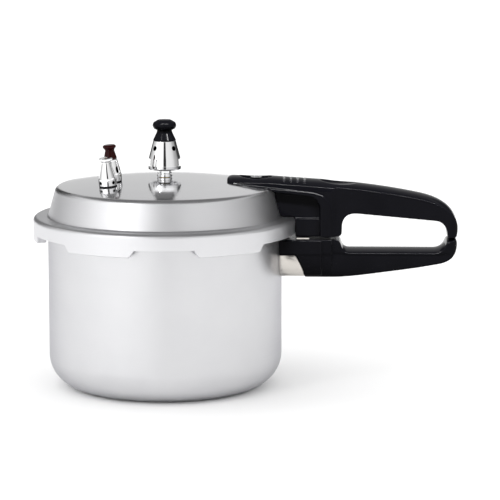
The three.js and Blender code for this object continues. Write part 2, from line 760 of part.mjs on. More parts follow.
function releaseValveHousing() {
  const housing = ring([
    point(1.8, -9),
    point(VALVE_STEM, -9),
    point(VALVE_STEM, GAP),
    point(8.4, GAP),
    point(8.6, 6.8),
    point(8.2, 7.6),
    point(6.3, 19),
    point(6.3, 19.6),
    point(5.9, 20),
    point(2.2, 20),
    point(2.2, 14),
    point(4.6, 14),
    point(4.6, SEAT),
    point(1.8, SEAT),
  ]);
  return without(housing, ...sideHoles(1.6, 10.5, 12, 47));
}

function releaseStem() {
  return turned([
    point(0, SEAT + GAP),
    point(4.2, SEAT + GAP),
    point(4.2, SEAT + 2.2),
    point(1.9, SEAT + 2.2),
    point(1.9, 27),
    point(0, 27),
  ], SCREW_SIDES);
}

function releaseCap() {
  return turned([
    point(0, 27.4),
    point(2.2, 27.4),
    point(2.2, 20.3),
    point(5.8, 20.3),
    point(5.7, 21.4),
    point(4.2, 26.4),
    point(4, 28),
    point(4.9, 28.9),
    point(5.8, 30),
    point(5.8, 31.4),
    point(4.6, 32.4),
    point(0, 32.8),
  ]);
}

const valveWasher = () => tube(VALVE_STEM + GAP, 7.5, -3.9, -2.9);
const valveNut = () => hexNut(15, VALVE_STEM + GAP, -7.8, -4.2);

// ---- Assembly -------------------------------------------------------------------------

// A group that stands on the dome, square to it.
function standingAt([x, y], ...pieces) {
  const group = new THREE.Group();
  group.position.set(x, y, domeZ(Math.hypot(x, y)));
  group.rotation.set(...domeTilt([x, y]).map(radians), 'ZYX');
  return group.add(...pieces);
}

const gather = (...pieces) => new THREE.Group().add(...pieces);

const pot = gather(
  piece('pot_body', potBody(), FINISHES.satinAluminium),
  piece('pot_bracket', potBracket(), FINISHES.steel),
  piece('pot_bracket_rivet_lower', potRivet(RIVET_HEIGHTS[0]), FINISHES.satinAluminium),
  piece('pot_bracket_rivet_upper', potRivet(RIVET_HEIGHTS[1]), FINISHES.satinAluminium),
  piece('flame_guard', flameGuard(), FINISHES.stainless),
  piece('lower_handle', lowerHandle(), FINISHES.bakelite),
  piece('lower_handle_screw', lowerHandleScrew(), FINISHES.steel),
  piece(
    'lower_handle_washer',
    tube(2.4, 4.4, 102, 102.9, SCREW_SIDES).translate([HANDLE_SCREW_X, 0, 0]),
    FINISHES.steel,
  ),
  piece(
    'lower_handle_nut',
    hexNut(8.4, 2.4, TONGUE.high + GAP, TONGUE.high + 3.6).translate([HANDLE_SCREW_X, 0, 0]),
    FINISHES.steel,
  ),
);

const lid = gather(
  piece('lid_dome', lidDome(), FINISHES.polishedAluminium),
  piece('upper_handle', upperHandle(), FINISHES.bakelite),
  piece('lid_bracket', lidBracket(), FINISHES.stainless),
  piece('lid_bracket_rivet_left', lidRivet(LID_RIVETS[0]), FINISHES.steel),
  piece('lid_bracket_rivet_right', lidRivet(LID_RIVETS[1]), FINISHES.steel),
  piece('bracket_screw', bracketScrew(), FINISHES.steel),
  piece('handle_bolt', handleBolt(), FINISHES.steel),
  piece('handle_washer', tube(3.4, 6.6, 182.1, 182.7).translate([BOLT_X, 0, 0]), FINISHES.steel),
  piece('handle_nut', hexNut(10.6, 3.4, 183, 185.5).translate([BOLT_X, 0, 0]), FINISHES.chrome),
  piece('vent_pipe', ventPipe(), FINISHES.brass),
  piece('vent_washer', tube(5.4, 8.5, UNDER_APEX - 1.5, UNDER_APEX - 0.4), FINISHES.rubber),
  piece('vent_collar', ventCollar(), FINISHES.chrome),
  piece('anti_clog_cover', antiClogCover(), FINISHES.stainless),
);

const safetyValve = standingAt(
  SAFETY_AT,
  piece('safety_valve_body', safetyValveBody(), FINISHES.chrome),
  piece('safety_valve_washer', valveWasher(), FINISHES.rubber),
  piece('safety_valve_nut', valveNut(), FINISHES.brass),
  piece('safety_spring', spring(2.5, 0.35, SEAT + 2.3, 14.7, 5), FINISHES.steel),
  piece('safety_poppet', safetyPoppet(), FINISHES.brass),
);

const releaseValve = standingAt(
  RELEASE_AT,
  piece('release_valve_housing', releaseValveHousing(), FINISHES.chrome),
  piece('release_valve_washer', valveWasher(), FINISHES.rubber),
  piece('release_valve_nut', valveNut(), FINISHES.brass),
  piece('release_spring', spring(3.2, 0.4, SEAT + 2.5, 13.7, 5), FINISHES.steel),
  piece('release_stem', releaseStem(), FINISHES.brass),
  piece('release_cap', releaseCap(), FINISHES.redBakelite),
);

const weight = gather(
  piece('weight_bell', weightBell(), FINISHES.chrome),
  piece('weight_needle', weightNeedle(), FINISHES.steel),
  piece('weight_knob', weightKnob(), FINISHES.bakelite),
);

const group = gather(
  pot,
  piece('gasket', gasket(), FINISHES.rubber),
  lid,
  safetyValve,
  releaseValve,
  weight,
);

export default group;
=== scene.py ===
# %% [markdown]
# # A stovetop pressure cooker
# The cooker is an aluminium pot with a lid that turns and locks under hooks, a weight valve, two small
# valves and a pair of black bakelite handles. The mechanical model gives the frame: which pieces there
# are, where they stand and what moves. This file gives each piece its fine shape and its finish.

# %% Load the frame
import json
import math

import bmesh
import bpy
import numpy as np
from mathutils import Matrix, Vector

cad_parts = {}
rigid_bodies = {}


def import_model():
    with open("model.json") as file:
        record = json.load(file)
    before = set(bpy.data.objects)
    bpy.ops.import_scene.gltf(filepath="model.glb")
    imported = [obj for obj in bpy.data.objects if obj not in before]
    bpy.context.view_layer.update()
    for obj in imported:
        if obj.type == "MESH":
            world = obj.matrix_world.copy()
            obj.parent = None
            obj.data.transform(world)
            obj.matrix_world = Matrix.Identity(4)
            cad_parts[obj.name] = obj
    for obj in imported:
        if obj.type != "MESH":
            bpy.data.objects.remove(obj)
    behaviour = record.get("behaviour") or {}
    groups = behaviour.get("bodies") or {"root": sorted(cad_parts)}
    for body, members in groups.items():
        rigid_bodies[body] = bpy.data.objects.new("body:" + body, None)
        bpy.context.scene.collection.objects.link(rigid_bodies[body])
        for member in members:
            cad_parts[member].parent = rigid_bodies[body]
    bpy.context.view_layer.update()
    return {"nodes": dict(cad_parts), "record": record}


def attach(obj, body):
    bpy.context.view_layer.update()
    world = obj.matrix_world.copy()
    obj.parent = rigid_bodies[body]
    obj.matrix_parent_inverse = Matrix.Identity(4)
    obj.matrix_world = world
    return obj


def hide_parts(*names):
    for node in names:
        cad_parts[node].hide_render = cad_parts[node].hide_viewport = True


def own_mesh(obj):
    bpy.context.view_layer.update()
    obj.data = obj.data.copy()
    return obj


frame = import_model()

MM = 0.001
scene = bpy.context.scene

# %% [markdown]
# ## Sizes
# A piece is drawn in millimetres and scaled to metres when its mesh is made. The driving sizes are the
# cooker's own: the pot's wall, the lid's dome and skirt, and the places where things stand on the dome.

# %% Driving sizes, in millimetres
POT_RADIUS, POT_WALL, POT_MOUTH = 103.0, 3.0, 144.0
POT_CORNER = 29.0
TOOTH_RADIUS, TOOTH_LOW, TOOTH_HIGH = 111.5, 135.3, 139.3

SKIRT_RADIUS, SHEET = 115.6, 2.5
HOOK_RADIUS, HOOK_LOW, HOOK_HIGH = 106.5, 131.0, 134.0
NOTCH_LOW = 137.3
FLANGE_Z = 151.4
APEX_Z, DOME_SPHERE = 185.0, 572.0
LOCK_ANGLES = [3.0 + 60.0 * (i + 1) for i in range(5)]

SAFETY_AT, RELEASE_AT = (-46.6, -38.0), (-44.6, -18.0)
DISH_X = 154.0
BOLT_PLACE, SCREW_PLACE, STRIP_SCREW_PLACE = (Matrix.Translation((x * MM, 0, 0)) for x in (80.4, 131, 122))


def dome_z(radius):
    """Height of the dome's outer surface at a distance from the pot's axis."""
    return APEX_Z - (DOME_SPHERE - math.sqrt(DOME_SPHERE ** 2 - radius ** 2))


print("dome height at its edge:", round(dome_z(94.5), 2), "mm")

# %% [markdown]
# ## Node helpers
# Both kinds of node tree, shader and geometry, are wired the same way: make a node, then give each of its
# inputs a value or a link. One helper does that, so that a tree reads as a list of steps.

# %% Wiring helpers


def add(tree, kind, inputs=None, **settings):
    """A node of that kind in the tree. Inputs take sockets or plain values."""
    made = tree.nodes.new(kind)
    for key, value in settings.items():
        setattr(made, key, value)
    for key, value in (inputs or {}).items():
        if isinstance(value, bpy.types.NodeSocket):
            tree.links.new(value, made.inputs[key])
        else:
            made.inputs[key].default_value = value
    return made


def maths(tree, operation, first, second=0.0):
    """The result socket of a Math node."""
    return add(tree, "ShaderNodeMath", {0: first, 1: second}, operation=operation).outputs[0]


def split(tree, vector):
    """The X, Y and Z sockets of a vector."""
    return add(tree, "ShaderNodeSeparateXYZ", {0: vector}).outputs


def join(tree, x, y, z):
    return add(tree, "ShaderNodeCombineXYZ", {0: x, 1: y, 2: z}).outputs[0]


def new_group(name, kind, inputs, outputs):
    """An empty node group with named inputs (name, socket type, default) and outputs (name, type)."""
    tree = bpy.data.node_groups.new(name, kind)
    for label, socket_type, default in inputs:
        socket = tree.interface.new_socket(label, in_out="INPUT", socket_type=socket_type)
        if default is not None:
            socket.default_value = default
    for label, socket_type in outputs:
        tree.interface.new_socket(label, in_out="OUTPUT", socket_type=socket_type)
    return tree


FLOAT, INT, GEOMETRY = "NodeSocketFloat", "NodeSocketInt", "NodeSocketGeometry"
VECTOR, MATERIAL = "NodeSocketVector", "NodeSocketMaterial"


def shape_group(name, inputs, result):
    """A Geometry Nodes group that ends its inputs with a finish, and the sockets its steps start from."""
    tree = new_group(name, "GeometryNodeTree", inputs + [("Finish", MATERIAL, None)], [(result, GEOMETRY)])
    return tree, add(tree, "NodeGroupInput").outputs


def end_shape(tree, geometry, finish):
    """Ends such a group: instances become real faces, and the faces take the finish."""
    real = add(tree, "GeometryNodeRealizeInstances", {0: geometry})
    finished = add(tree, "GeometryNodeSetMaterial", {0: real.outputs[0], "Material": finish})
    add(tree, "NodeGroupOutput", {0: finished.outputs[0]})
    return tree


print("helpers for both kinds of tree are ready")

# %% [markdown]
# ## Turned pieces
# Most of a cooker comes off a lathe or a spinning former: the pot, the lid, the valves, the knobs and the
# rivets. Each is a profile turned about an axis, and that is a rule, so one Geometry Nodes tree makes them
# all. The profile comes in as a row of points (radius along X, height along Z). A grid gets one row for
# each profile point and one column for each side, every grid point is moved to its place round the axis,
# and the seam and the poles are merged shut.

# %% The turning tree


def build_turning_tree():
    inputs = [("Profile", GEOMETRY, None), ("Sides", INT, 96)]
    tree, start = shape_group("turned_piece", inputs, "Piece")
    size = add(tree, "GeometryNodeAttributeDomainSize", {0: start["Profile"]}, component="MESH")
    count = size.outputs["Point Count"]
    columns = maths(tree, "ADD", start["Sides"], 1.0)
    grid = add(tree, "GeometryNodeMeshGrid", {"Vertices X": columns, "Vertices Y": count})
    index = add(tree, "GeometryNodeInputIndex").outputs[0]
    column = maths(tree, "FLOOR", maths(tree, "DIVIDE", maths(tree, "ADD", index, 0.5), count))
    row = maths(tree, "SUBTRACT", index, maths(tree, "MULTIPLY", column, count))
    place = add(tree, "GeometryNodeInputPosition").outputs[0]
    wanted = {"Geometry": start["Profile"], "Value": place, "Index": row}
    sample = add(tree, "GeometryNodeSampleIndex", wanted, data_type="FLOAT_VECTOR")
    point = split(tree, sample.outputs[0])
    turn = maths(tree, "DIVIDE", maths(tree, "MULTIPLY", column, 2 * math.pi), start["Sides"])
    across = maths(tree, "MULTIPLY", point["X"], maths(tree, "COSINE", turn))
    along = maths(tree, "MULTIPLY", point["X"], maths(tree, "SINE", turn))
    here = join(tree, across, along, point["Z"])
    moved = add(tree, "GeometryNodeSetPosition", {"Geometry": grid.outputs["Mesh"], "Position": here})
    closed = add(tree, "GeometryNodeMergeByDistance", {"Geometry": moved.outputs[0], "Distance": 1e-7})
    return end_shape(tree, closed.outputs[0], start["Finish"])


TURNING = build_turning_tree()
print("turning tree:", len(TURNING.nodes), "nodes")

# %% [markdown]
# A modifier's inputs are set by socket identifier before the object is first evaluated. The evaluated
# result is copied to a plain mesh, its faces are made to point outwards, and edges sharper than a set
# angle stay sharp while the rest is shaded smooth. Booleans settle the same way, one step at a time.

# %% From a tree to a plain mesh
SHARP = 32.0


def set_inputs(modifier, **values):
    """Sets a Geometry Nodes modifier's inputs, named in lower case with underscores for spaces."""
    for item in modifier.node_group.interface.items_tree:
        key = item.name.lower().replace(" ", "_")
        if item.in_out == "INPUT" and key in values:
            modifier[item.identifier] = values[key]


def smooth_by_angle(mesh, degrees):
    mesh.polygons.foreach_set("use_smooth", [True] * len(mesh.polygons))
    mesh.set_sharp_from_angle(angle=math.radians(degrees))


def face_outwards(mesh, merge=None):
    work = bmesh.new()
    work.from_mesh(mesh)
    if merge:
        bmesh.ops.remove_doubles(work, verts=work.verts, dist=merge)
    bmesh.ops.dissolve_degenerate(work, edges=work.edges, dist=1e-8)
    bmesh.ops.recalc_face_normals(work, faces=work.faces)
    work.to_mesh(mesh)
    work.free()


def settle(work, sharp=SHARP, merge=None):
    """Applies every modifier of a piece and leaves a plain, outward-facing mesh."""
    view = bpy.context.evaluated_depsgraph_get()
    made = bpy.data.meshes.new_from_object(work.evaluated_get(view), depsgraph=view)
    work.modifiers.clear()
    old, work.data = work.data, made
    made.name = work.name
    bpy.data.meshes.remove(old)
    face_outwards(made, merge)
    smooth_by_angle(made, sharp)
    return work


def new_object(name, data):
    made = bpy.data.objects.new(name, data)
    scene.collection.objects.link(made)
    return made


def by_tree(name, group, mesh=None, sharp=SHARP, **values):
    """An object whose shape a Geometry Nodes group makes from the given inputs."""
    piece = new_object(name, bpy.data.meshes.new(name) if mesh is None else mesh)
    tree = piece.modifiers.new("shape", "NODES")
    tree.node_group = group
    set_inputs(tree, **values)
    return settle(piece, sharp)


def combine(piece, *steps, materials="INDEX"):
    """Runs boolean steps, each (operation, other object), and removes the other objects."""
    for operation, other in steps:
        change = piece.modifiers.new(operation.lower(), "BOOLEAN")
        change.operation, change.solver, change.object = operation, "EXACT", other
        change.material_mode = materials
        settle(piece, merge=1e-6)
        bpy.data.objects.remove(other)
    return piece


def get_points(mesh):
    """A mesh's points as an array, in metres."""
    flat = np.empty(len(mesh.vertices) * 3)
    mesh.vertices.foreach_get("co", flat)
    return flat.reshape(-1, 3)


def set_points(mesh, points):
    mesh.vertices.foreach_set("co", points.ravel())
    mesh.update()


print("edges sharper than", SHARP, "degrees stay sharp")


# %% [markdown]
# ## Profiles with real edges
# A machined or moulded edge is never perfectly sharp: a small radius on it catches a line of light, and
# that line is what makes metal look like metal. A profile is therefore written as corner points with a
# radius for each, and a helper replaces every corner by an arc. A long flat stretch also gets a point close
# to each of its ends, or smooth shading would spread the arc's turn over the whole flat.

# %% Rounding a profile's corners


def rounded(corners, steps=4, closed=False):
    """Points of an outline whose corners (x, z, radius) are replaced by arcs."""
    count = len(corners)
    points = []
    for i, (x, z, radius) in enumerate(corners):
        here = Vector((x, z))
        ends = not closed and i in (0, count - 1)
        if radius == 0 or ends:
            points.append(here)
            continue
        before, after = (Vector(corners[(i + d) % count][:2]) for d in (-1, 1))
        into, out = (before - here).normalized(), (after - here).normalized()
        half = into.angle(out) / 2
        reach = min(radius / math.tan(half), (before - here).length * 0.49, (after - here).length * 0.49)
        centre = here + (into + out).normalized() * (reach / math.cos(half))
        first, last = here + into * reach - centre, here + out * reach - centre
        sweep = first.angle_signed(last)
        points += [centre + rotated(first, -sweep * k / steps) for k in range(steps + 1)]
    return with_shoulders(points)


def with_shoulders(points, margin=0.35):
    """Adds a point close to each end of a long stretch, a margin (in mm) away from the arc."""
    result = [points[0]]
    for before, after in zip(points, points[1:]):
        stretch = after - before
        if stretch.length > 4 * margin:
            step = stretch.normalized() * margin
            result += [before + step, after - step]
        result.append(after)
    return result


def rotated(vector, angle):
    cosine, sine = math.cos(angle), math.sin(angle)
    return Vector((vector.x * cosine - vector.y * sine, vector.x * sine + vector.y * cosine))


def arc(x, z, radius, start, end, steps):
    """Points of an arc, angles in degrees from the X axis."""
    angles = [math.radians(start + (end - start) * k / steps) for k in range(steps + 1)]
    return [Vector((x + radius * math.cos(a), z + radius * math.sin(a))) for a in angles]


def turned(name, profile, sides=96, sharp=SHARP, ring=False, finish=None, place=None):
    """A piece turned about Z from its profile. A ring's profile closes on itself."""
    points = [Vector(p[:2]) for p in profile]
    if ring:
        points.append(points[0].copy())
    mesh = bpy.data.meshes.new(name)
    mesh.from_pydata([(max(p.x, 0.0) * MM, 0.0, p.y * MM) for p in points], [], [])
    piece = by_tree(name, TURNING, mesh, sharp, sides=sides, finish=finish)
    if place is not None:
        piece.data.transform(place)
    return piece


def cylinder(name, radius, low, high, sides, place=None):
    return turned(name, [(0, low), (radius, low), (radius, high), (0, high)], sides=sides, place=place)


print("a square corner rounded by 1 mm takes", len(rounded([(0, 0, 0), (9, 0, 1), (9, 9, 0)])), "points")

# %% [markdown]
# ## Finishes
# Surface marks come from shader node groups, built once and used by several finishes. Turning marks are
# the fine rings that polishing and spinning leave round the axis. They read Object coordinates, which are
# the cooker's own millimetres, so a mark stays on its piece when the piece moves.

# %% Turning marks


def build_turning_marks():
    """Fine rings round the Z axis: noise that hardly changes round the axis and changes fast along it."""
    inputs = [("Rings per mm", FLOAT, 1.2), ("Breaks", FLOAT, 6.0)]
    tree = new_group("turning_marks", "ShaderNodeTree", inputs, [("Height", FLOAT), ("Patches", FLOAT)])
    start = add(tree, "NodeGroupInput").outputs
    place = add(tree, "ShaderNodeTexCoord").outputs["Object"]
    axes = split(tree, place)
    radius = maths(tree, "POWER", maths(tree, "ADD", maths(tree, "POWER", axes["X"], 2.0),
                                        maths(tree, "POWER", axes["Y"], 2.0)), 0.5)
    angle = maths(tree, "ARCTAN2", axes["Y"], axes["X"])
    per_metre = maths(tree, "MULTIPLY", start["Rings per mm"], 1000.0)
    across = maths(tree, "MULTIPLY", maths(tree, "SINE", angle), start["Breaks"])
    along = maths(tree, "MULTIPLY", maths(tree, "COSINE", angle), start["Breaks"])
    outward = maths(tree, "MULTIPLY", maths(tree, "ADD", radius, axes["Z"]), per_metre)
    path = join(tree, across, along, outward)
    rings = add(tree, "ShaderNodeTexNoise", {"Vector": path, "Scale": 1.0, "Detail": 3.0})
    patches = add(tree, "ShaderNodeTexNoise", {"Vector": place, "Scale": 34.0, "Detail": 4.0})
    add(tree, "NodeGroupOutput", {0: rings.outputs[0], 1: patches.outputs[0]})
    return tree


TURNING_MARKS = build_turning_marks()

# %% [markdown]
# Handled metal and plastic are brighter or duller where hands and cloths rub: along the edges. The edge
# mask comes from the surface's own pointiness. A second group gives the faint mottle that a moulding or a
# bead-blasted face shows close to.

# %% Edge mask and fine mottle


def build_rubbed_edges():
    inputs = [("Start", FLOAT, 0.52), ("Full", FLOAT, 0.6)]
    tree = new_group("rubbed_edges", "ShaderNodeTree", inputs, [("Mask", FLOAT)])
    start = add(tree, "NodeGroupInput").outputs
    edge = add(tree, "ShaderNodeNewGeometry").outputs["Pointiness"]
    limits = {"Value": edge, "From Min": start["Start"], "From Max": start["Full"]}
    ramp = add(tree, "ShaderNodeMapRange", limits)
    add(tree, "NodeGroupOutput", {0: ramp.outputs[0]})
    return tree


def build_mottle():
    inputs = [("Grains per mm", FLOAT, 2.0)]
    tree = new_group("mottle", "ShaderNodeTree", inputs, [("Fine", FLOAT), ("Broad", FLOAT)])
    start = add(tree, "NodeGroupInput").outputs
    place = add(tree, "ShaderNodeTexCoord").outputs["Object"]
    scale = maths(tree, "MULTIPLY", start["Grains per mm"], 1000.0)
    fine = add(tree, "ShaderNodeTexNoise", {"Vector": place, "Scale": scale, "Detail": 2.0})
    broad = add(tree, "ShaderNodeTexNoise", {"Vector": place, "Scale": 45.0, "Detail": 3.0})
    add(tree, "NodeGroupOutput", {0: fine.outputs[0], 1: broad.outputs[0]})
    return tree


RUBBED_EDGES = build_rubbed_edges()
MOTTLE = build_mottle()

# %% [markdown]
# Every finish is a Principled shader whose colour and roughness vary a little with these masks, over a
# bump as deep as the real marks: under a micrometre on polished metal, a few on steel and on mouldings.
# The lid is polished on its dome and left satin on its skirt. The faces inside the holes carry a mark that
# paints them near black: painted shade for the hollow inside each hole.

# %% Metal finishes
SATIN_FADE = 0.004


def use_group(tree, group, **values):
    made = add(tree, "ShaderNodeGroup", node_tree=group)
    for key, value in values.items():
        made.inputs[key.replace("_", " ")].default_value = value
    return made.outputs


def remap(tree, value, low, high):
    """A 0 to 1 noise value spread between two figures."""
    inputs = {"Value": value, "From Min": 0.3, "From Max": 0.7, "To Min": low, "To Max": high}
    return add(tree, "ShaderNodeMapRange", inputs).outputs[0]


def blend_colour(tree, factor, first, second):
    mix = add(tree, "ShaderNodeMix", {0: factor}, data_type="RGBA")
    for socket, value in zip([s for s in mix.inputs if s.type == "RGBA"], (first, second)):
        if isinstance(value, bpy.types.NodeSocket):
            tree.links.new(value, socket)
        else:
            socket.default_value = (*value, 1.0)
    return [s for s in mix.outputs if s.type == "RGBA"][0]


def blank_material(name):
    material = bpy.data.materials.new(name + "_finish")
    material.use_nodes = True
    return material, material.node_tree, material.node_tree.nodes["Principled BSDF"]


def surface(tree, shader, colour, roughness, height, depth, strength):
    """Feeds a shader its colour, its roughness and a bump of that depth in millimetres."""
    distance = {"Height": height, "Distance": depth * MM, "Strength": strength}
    bump = add(tree, "ShaderNodeBump", distance).outputs[0]
    for socket, value in (("Base Color", colour), ("Roughness", roughness), ("Normal", bump)):
        tree.links.new(value, shader.inputs[socket])


def metal(name, dull, bright, roughness, rings, breaks, depth, spread=0.25, satin_below=None,
          edge_tint=(1.0, 1.0, 1.0), bore=None):
    """A metal whose turning marks vary its roughness and bump, with brighter rubbed edges.

    Satin_below is a height, a roughness and a colour: under that height the metal is left satin. Bore is
    the colour painted on the faces inside holes, as painted shade. Edge_tint is the colour at a grazing angle.
    """
    material, tree, shader = blank_material(name)
    marks = use_group(tree, TURNING_MARKS, Rings_per_mm=rings, Breaks=breaks)
    edge = use_group(tree, RUBBED_EDGES, Start=0.515, Full=0.62)
    tone = blend_colour(tree, marks["Patches"], dull, bright)
    tone = blend_colour(tree, edge["Mask"], tone, bright)
    # Faces marked inside holes are painted near black: painted shade for the hollow of each hole.
    if bore:
        bore_shade_mask = add(tree, "ShaderNodeAttribute", attribute_name="bore").outputs["Fac"]
        tone = blend_colour(tree, bore_shade_mask, tone, bore)
    varied = remap(tree, marks["Height"], roughness * (1 - spread), roughness * (1 + spread))
    if satin_below:
        level, satin_roughness, satin_tone = satin_below
        height = split(tree, add(tree, "ShaderNodeTexCoord").outputs["Object"])["Z"]
        limits = {"Value": height, "From Min": level + SATIN_FADE, "From Max": level}
        extra = add(tree, "ShaderNodeMapRange", {**limits, "To Max": satin_roughness - roughness}).outputs[0]
        varied = maths(tree, "ADD", varied, extra)
        lower = add(tree, "ShaderNodeMapRange", limits).outputs[0]
        tone = blend_colour(tree, lower, tone, satin_tone)
    surface(tree, shader, tone, varied, marks["Height"], depth, 1.0)
    shader.inputs["Metallic"].default_value = 1.0
    shader.inputs["Specular Tint"].default_value = (*edge_tint, 1.0)
    return material


# After each metal's two colours: roughness, rings per mm, breaks round a ring, depth of the marks in mm.
SATIN = metal("satin_aluminium", (0.64, 0.64, 0.655), (0.69, 0.69, 0.7), 0.36, 1.1, 1.5, 0.0006, spread=0.08,
              edge_tint=(0.6, 0.6, 0.62))
POLISHED = metal("polished_aluminium", (0.76, 0.76, 0.78), (0.81, 0.81, 0.82), 0.12, 2.2, 3.0, 0.0005,
                 satin_below=(0.174, 0.42, (0.73, 0.73, 0.745)))
# Chrome's bore colour is painted shade for the faces inside its holes.
CHROME = metal("chrome", (0.88, 0.88, 0.89), (0.95, 0.95, 0.95), 0.035, 3.0, 2.0, 0.0002,
               bore=(0.015, 0.015, 0.016))
STAINLESS = metal("stainless", (0.5, 0.48, 0.45), (0.6, 0.57, 0.53), 0.2, 1.6, 1.0, 0.002)
STEEL = metal("steel", (0.5, 0.5, 0.52), (0.72, 0.72, 0.74), 0.3, 2.4, 4.0, 0.003)
BRASS = metal("brass", (0.55, 0.4, 0.18), (0.78, 0.62, 0.34), 0.28, 2.4, 4.0, 0.003)
print("metals:", [m.name for m in (SATIN, POLISHED, CHROME, STAINLESS, STEEL, BRASS)])

# %% [markdown]
# The handles and knobs are bakelite, a hard black or red-brown moulding that leaves the die glossy. The
# body is mottled a little, and the gloss figure sets how much of the light its surface returns. The gasket
# is rubber: matte, and a little paler along its edges.

# %% Moulded finishes


def moulded(name, dark, light, roughness, gloss, depth=0.004, worn=(0.03, 0.03, 0.033)):
    material, tree, shader = blank_material(name)
    grain = use_group(tree, MOTTLE, Grains_per_mm=1.6)
    edge = use_group(tree, RUBBED_EDGES, Start=0.53, Full=0.66)
    body = blend_colour(tree, grain["Broad"], dark, light)
    tone = blend_colour(tree, edge["Mask"], body, worn)
    varied = remap(tree, grain["Broad"], roughness * 0.8, roughness * 1.25)
    surface(tree, shader, tone, varied, grain["Fine"], depth, 0.6)
    shader.inputs["Specular IOR Level"].default_value = gloss
    return material


BAKELITE = moulded("black_bakelite", (0.001, 0.001, 0.0014), (0.002, 0.002, 0.0027), 0.1, 0.035)
BROWN = moulded("brown_bakelite", (0.016, 0.001, 0.001), (0.026, 0.002, 0.002), 0.12, 0.12,
                worn=(0.05, 0.006, 0.005))
RUBBER = moulded("rubber", (0.022, 0.022, 0.024), (0.035, 0.035, 0.037), 0.62, 0.0, 0.02, (0.07, 0.07, 0.07))
ALL_FINISHES = (SATIN, POLISHED, CHROME, STAINLESS, STEEL, BRASS, BAKELITE, BROWN, RUBBER)
FINISHES = {m.name.removesuffix("_finish"): m for m in ALL_FINISHES}
node_slot = {part["node"]: part["material_slot"] for part in frame["record"]["subparts"]}
node_body = {n: b for b, members in frame["record"]["behaviour"]["bodies"].items() for n in members}
print(len(node_slot), "nodes take", len(FINISHES), "finishes")

# %% Handing a piece over to the frame
made_for = []


def hand_over(piece, node):
    """The piece takes its node's finish, body and slot, and stands for that node."""
    piece.data.materials.clear()
    piece.data.materials.append(FINISHES[node_slot[node]])
    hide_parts(node)
    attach(piece, node_body[node])
    made_for.append(node)
    return piece


# %% [markdown]
# ## The pot
# The pot is one spun and pressed aluminium shell with a flat base, a wide base corner and a bead round its
# mouth. Below the bead stand five locking teeth, with none at the handles. The whole wall is one turned
# profile with a flange at the teeth's height, and a rule then draws that flange back to the wall between
# the teeth. That keeps the surface in one piece, with a soft root where a tooth meets the wall.

# %% Pot profile
HALF_TOOTH, TOOTH_EDGE = 13.0, 0.6
LOCK_SMOOTH = 34


def pot_profile():
    flat, inner = POT_RADIUS - POT_CORNER, POT_RADIUS - POT_WALL
    outside = [Vector((0, 0))] + arc(flat, POT_CORNER, POT_CORNER, -90, 0, 18)
    mouth = rounded([
        (POT_RADIUS, 60, 0), (POT_RADIUS, TOOTH_LOW, 0.5),
        (TOOTH_RADIUS, TOOTH_LOW, 0.8), (TOOTH_RADIUS, TOOTH_HIGH, 0.8),
        (POT_RADIUS, TOOTH_HIGH, 0.4), (POT_RADIUS, 140.4, 0.2),
        (105.5, 140.6, 0.5), (105.5, POT_MOUTH, 1.2), (inner, POT_MOUTH, 0.9), (inner, 60, 0),
    ])
    inside = arc(flat, POT_CORNER, POT_CORNER - POT_WALL, 0, -90, 18) + [Vector((0, POT_WALL))]
    return outside + mouth + inside


def near_lock(angle, full, gone):
    """1 within `full` degrees of a lock angle, 0 beyond `gone`, smooth between."""
    away = np.min([np.abs((angle - a + 180) % 360 - 180) for a in LOCK_ANGLES], axis=0)
    share = np.clip((gone - away) / (gone - full), 0, 1)
    return share * share * (3 - 2 * share)


def reshape(mesh, rule):
    """Moves a mesh's points by a rule that takes radius, height (in mm) and angle, all as arrays."""
    points = get_points(mesh)
    radius, angle = np.hypot(points[:, 0], points[:, 1]) / MM, np.arctan2(points[:, 1], points[:, 0])
    new_radius, new_height = rule(radius, points[:, 2] / MM, np.degrees(angle))
    points[:, 0], points[:, 1] = new_radius * np.cos(angle) * MM, new_radius * np.sin(angle) * MM
    points[:, 2] = new_height * MM
    set_points(mesh, points)
    smooth_by_angle(mesh, LOCK_SMOOTH)


def draw_back_teeth(radius, height, angle):
    tooth = near_lock(angle, HALF_TOOTH - TOOTH_EDGE, HALF_TOOTH + TOOTH_EDGE)
    flange = (height > TOOTH_LOW - TOOTH_EDGE) & (height < TOOTH_HIGH + TOOTH_EDGE) & (radius > POT_RADIUS)
    drawn = POT_RADIUS + (radius - POT_RADIUS) * np.maximum(tooth, 0.01)
    return np.where(flange, drawn, radius), height


pot = turned("pot", pot_profile(), sides=480)
reshape(pot.data, draw_back_teeth)
hand_over(pot, "pot_body")
print("pot:", len(pot.data.polygons), "faces")

# %% [markdown]
# ## The lid
# The lid is pressed from thicker sheet and polished: a shallow dome on a short sloping wall, a flat flange,
# and a skirt that comes down over the pot's mouth. At five places the skirt reaches lower and turns in
# under the pot's teeth. Between those hooks it is cut back with sloping ends. The turned profile has the
# hook all round, and a rule folds it up into the plain skirt edge between the hooks.

# %% Lid profile
HOOK_HALF, HOOK_SLOPE_END = 14.7, 17.6
DOME_EDGE, DOME_EDGE_UNDER, SKIRT_BREAK = 89.0, 88.5, 138.5
INNER_SKIRT = SKIRT_RADIUS - SHEET


def dome(radius, share, drop=0.0):
    """A point at a share of the way from the pot's axis to that radius."""
    return Vector((radius * share, dome_z(radius * share) - drop))


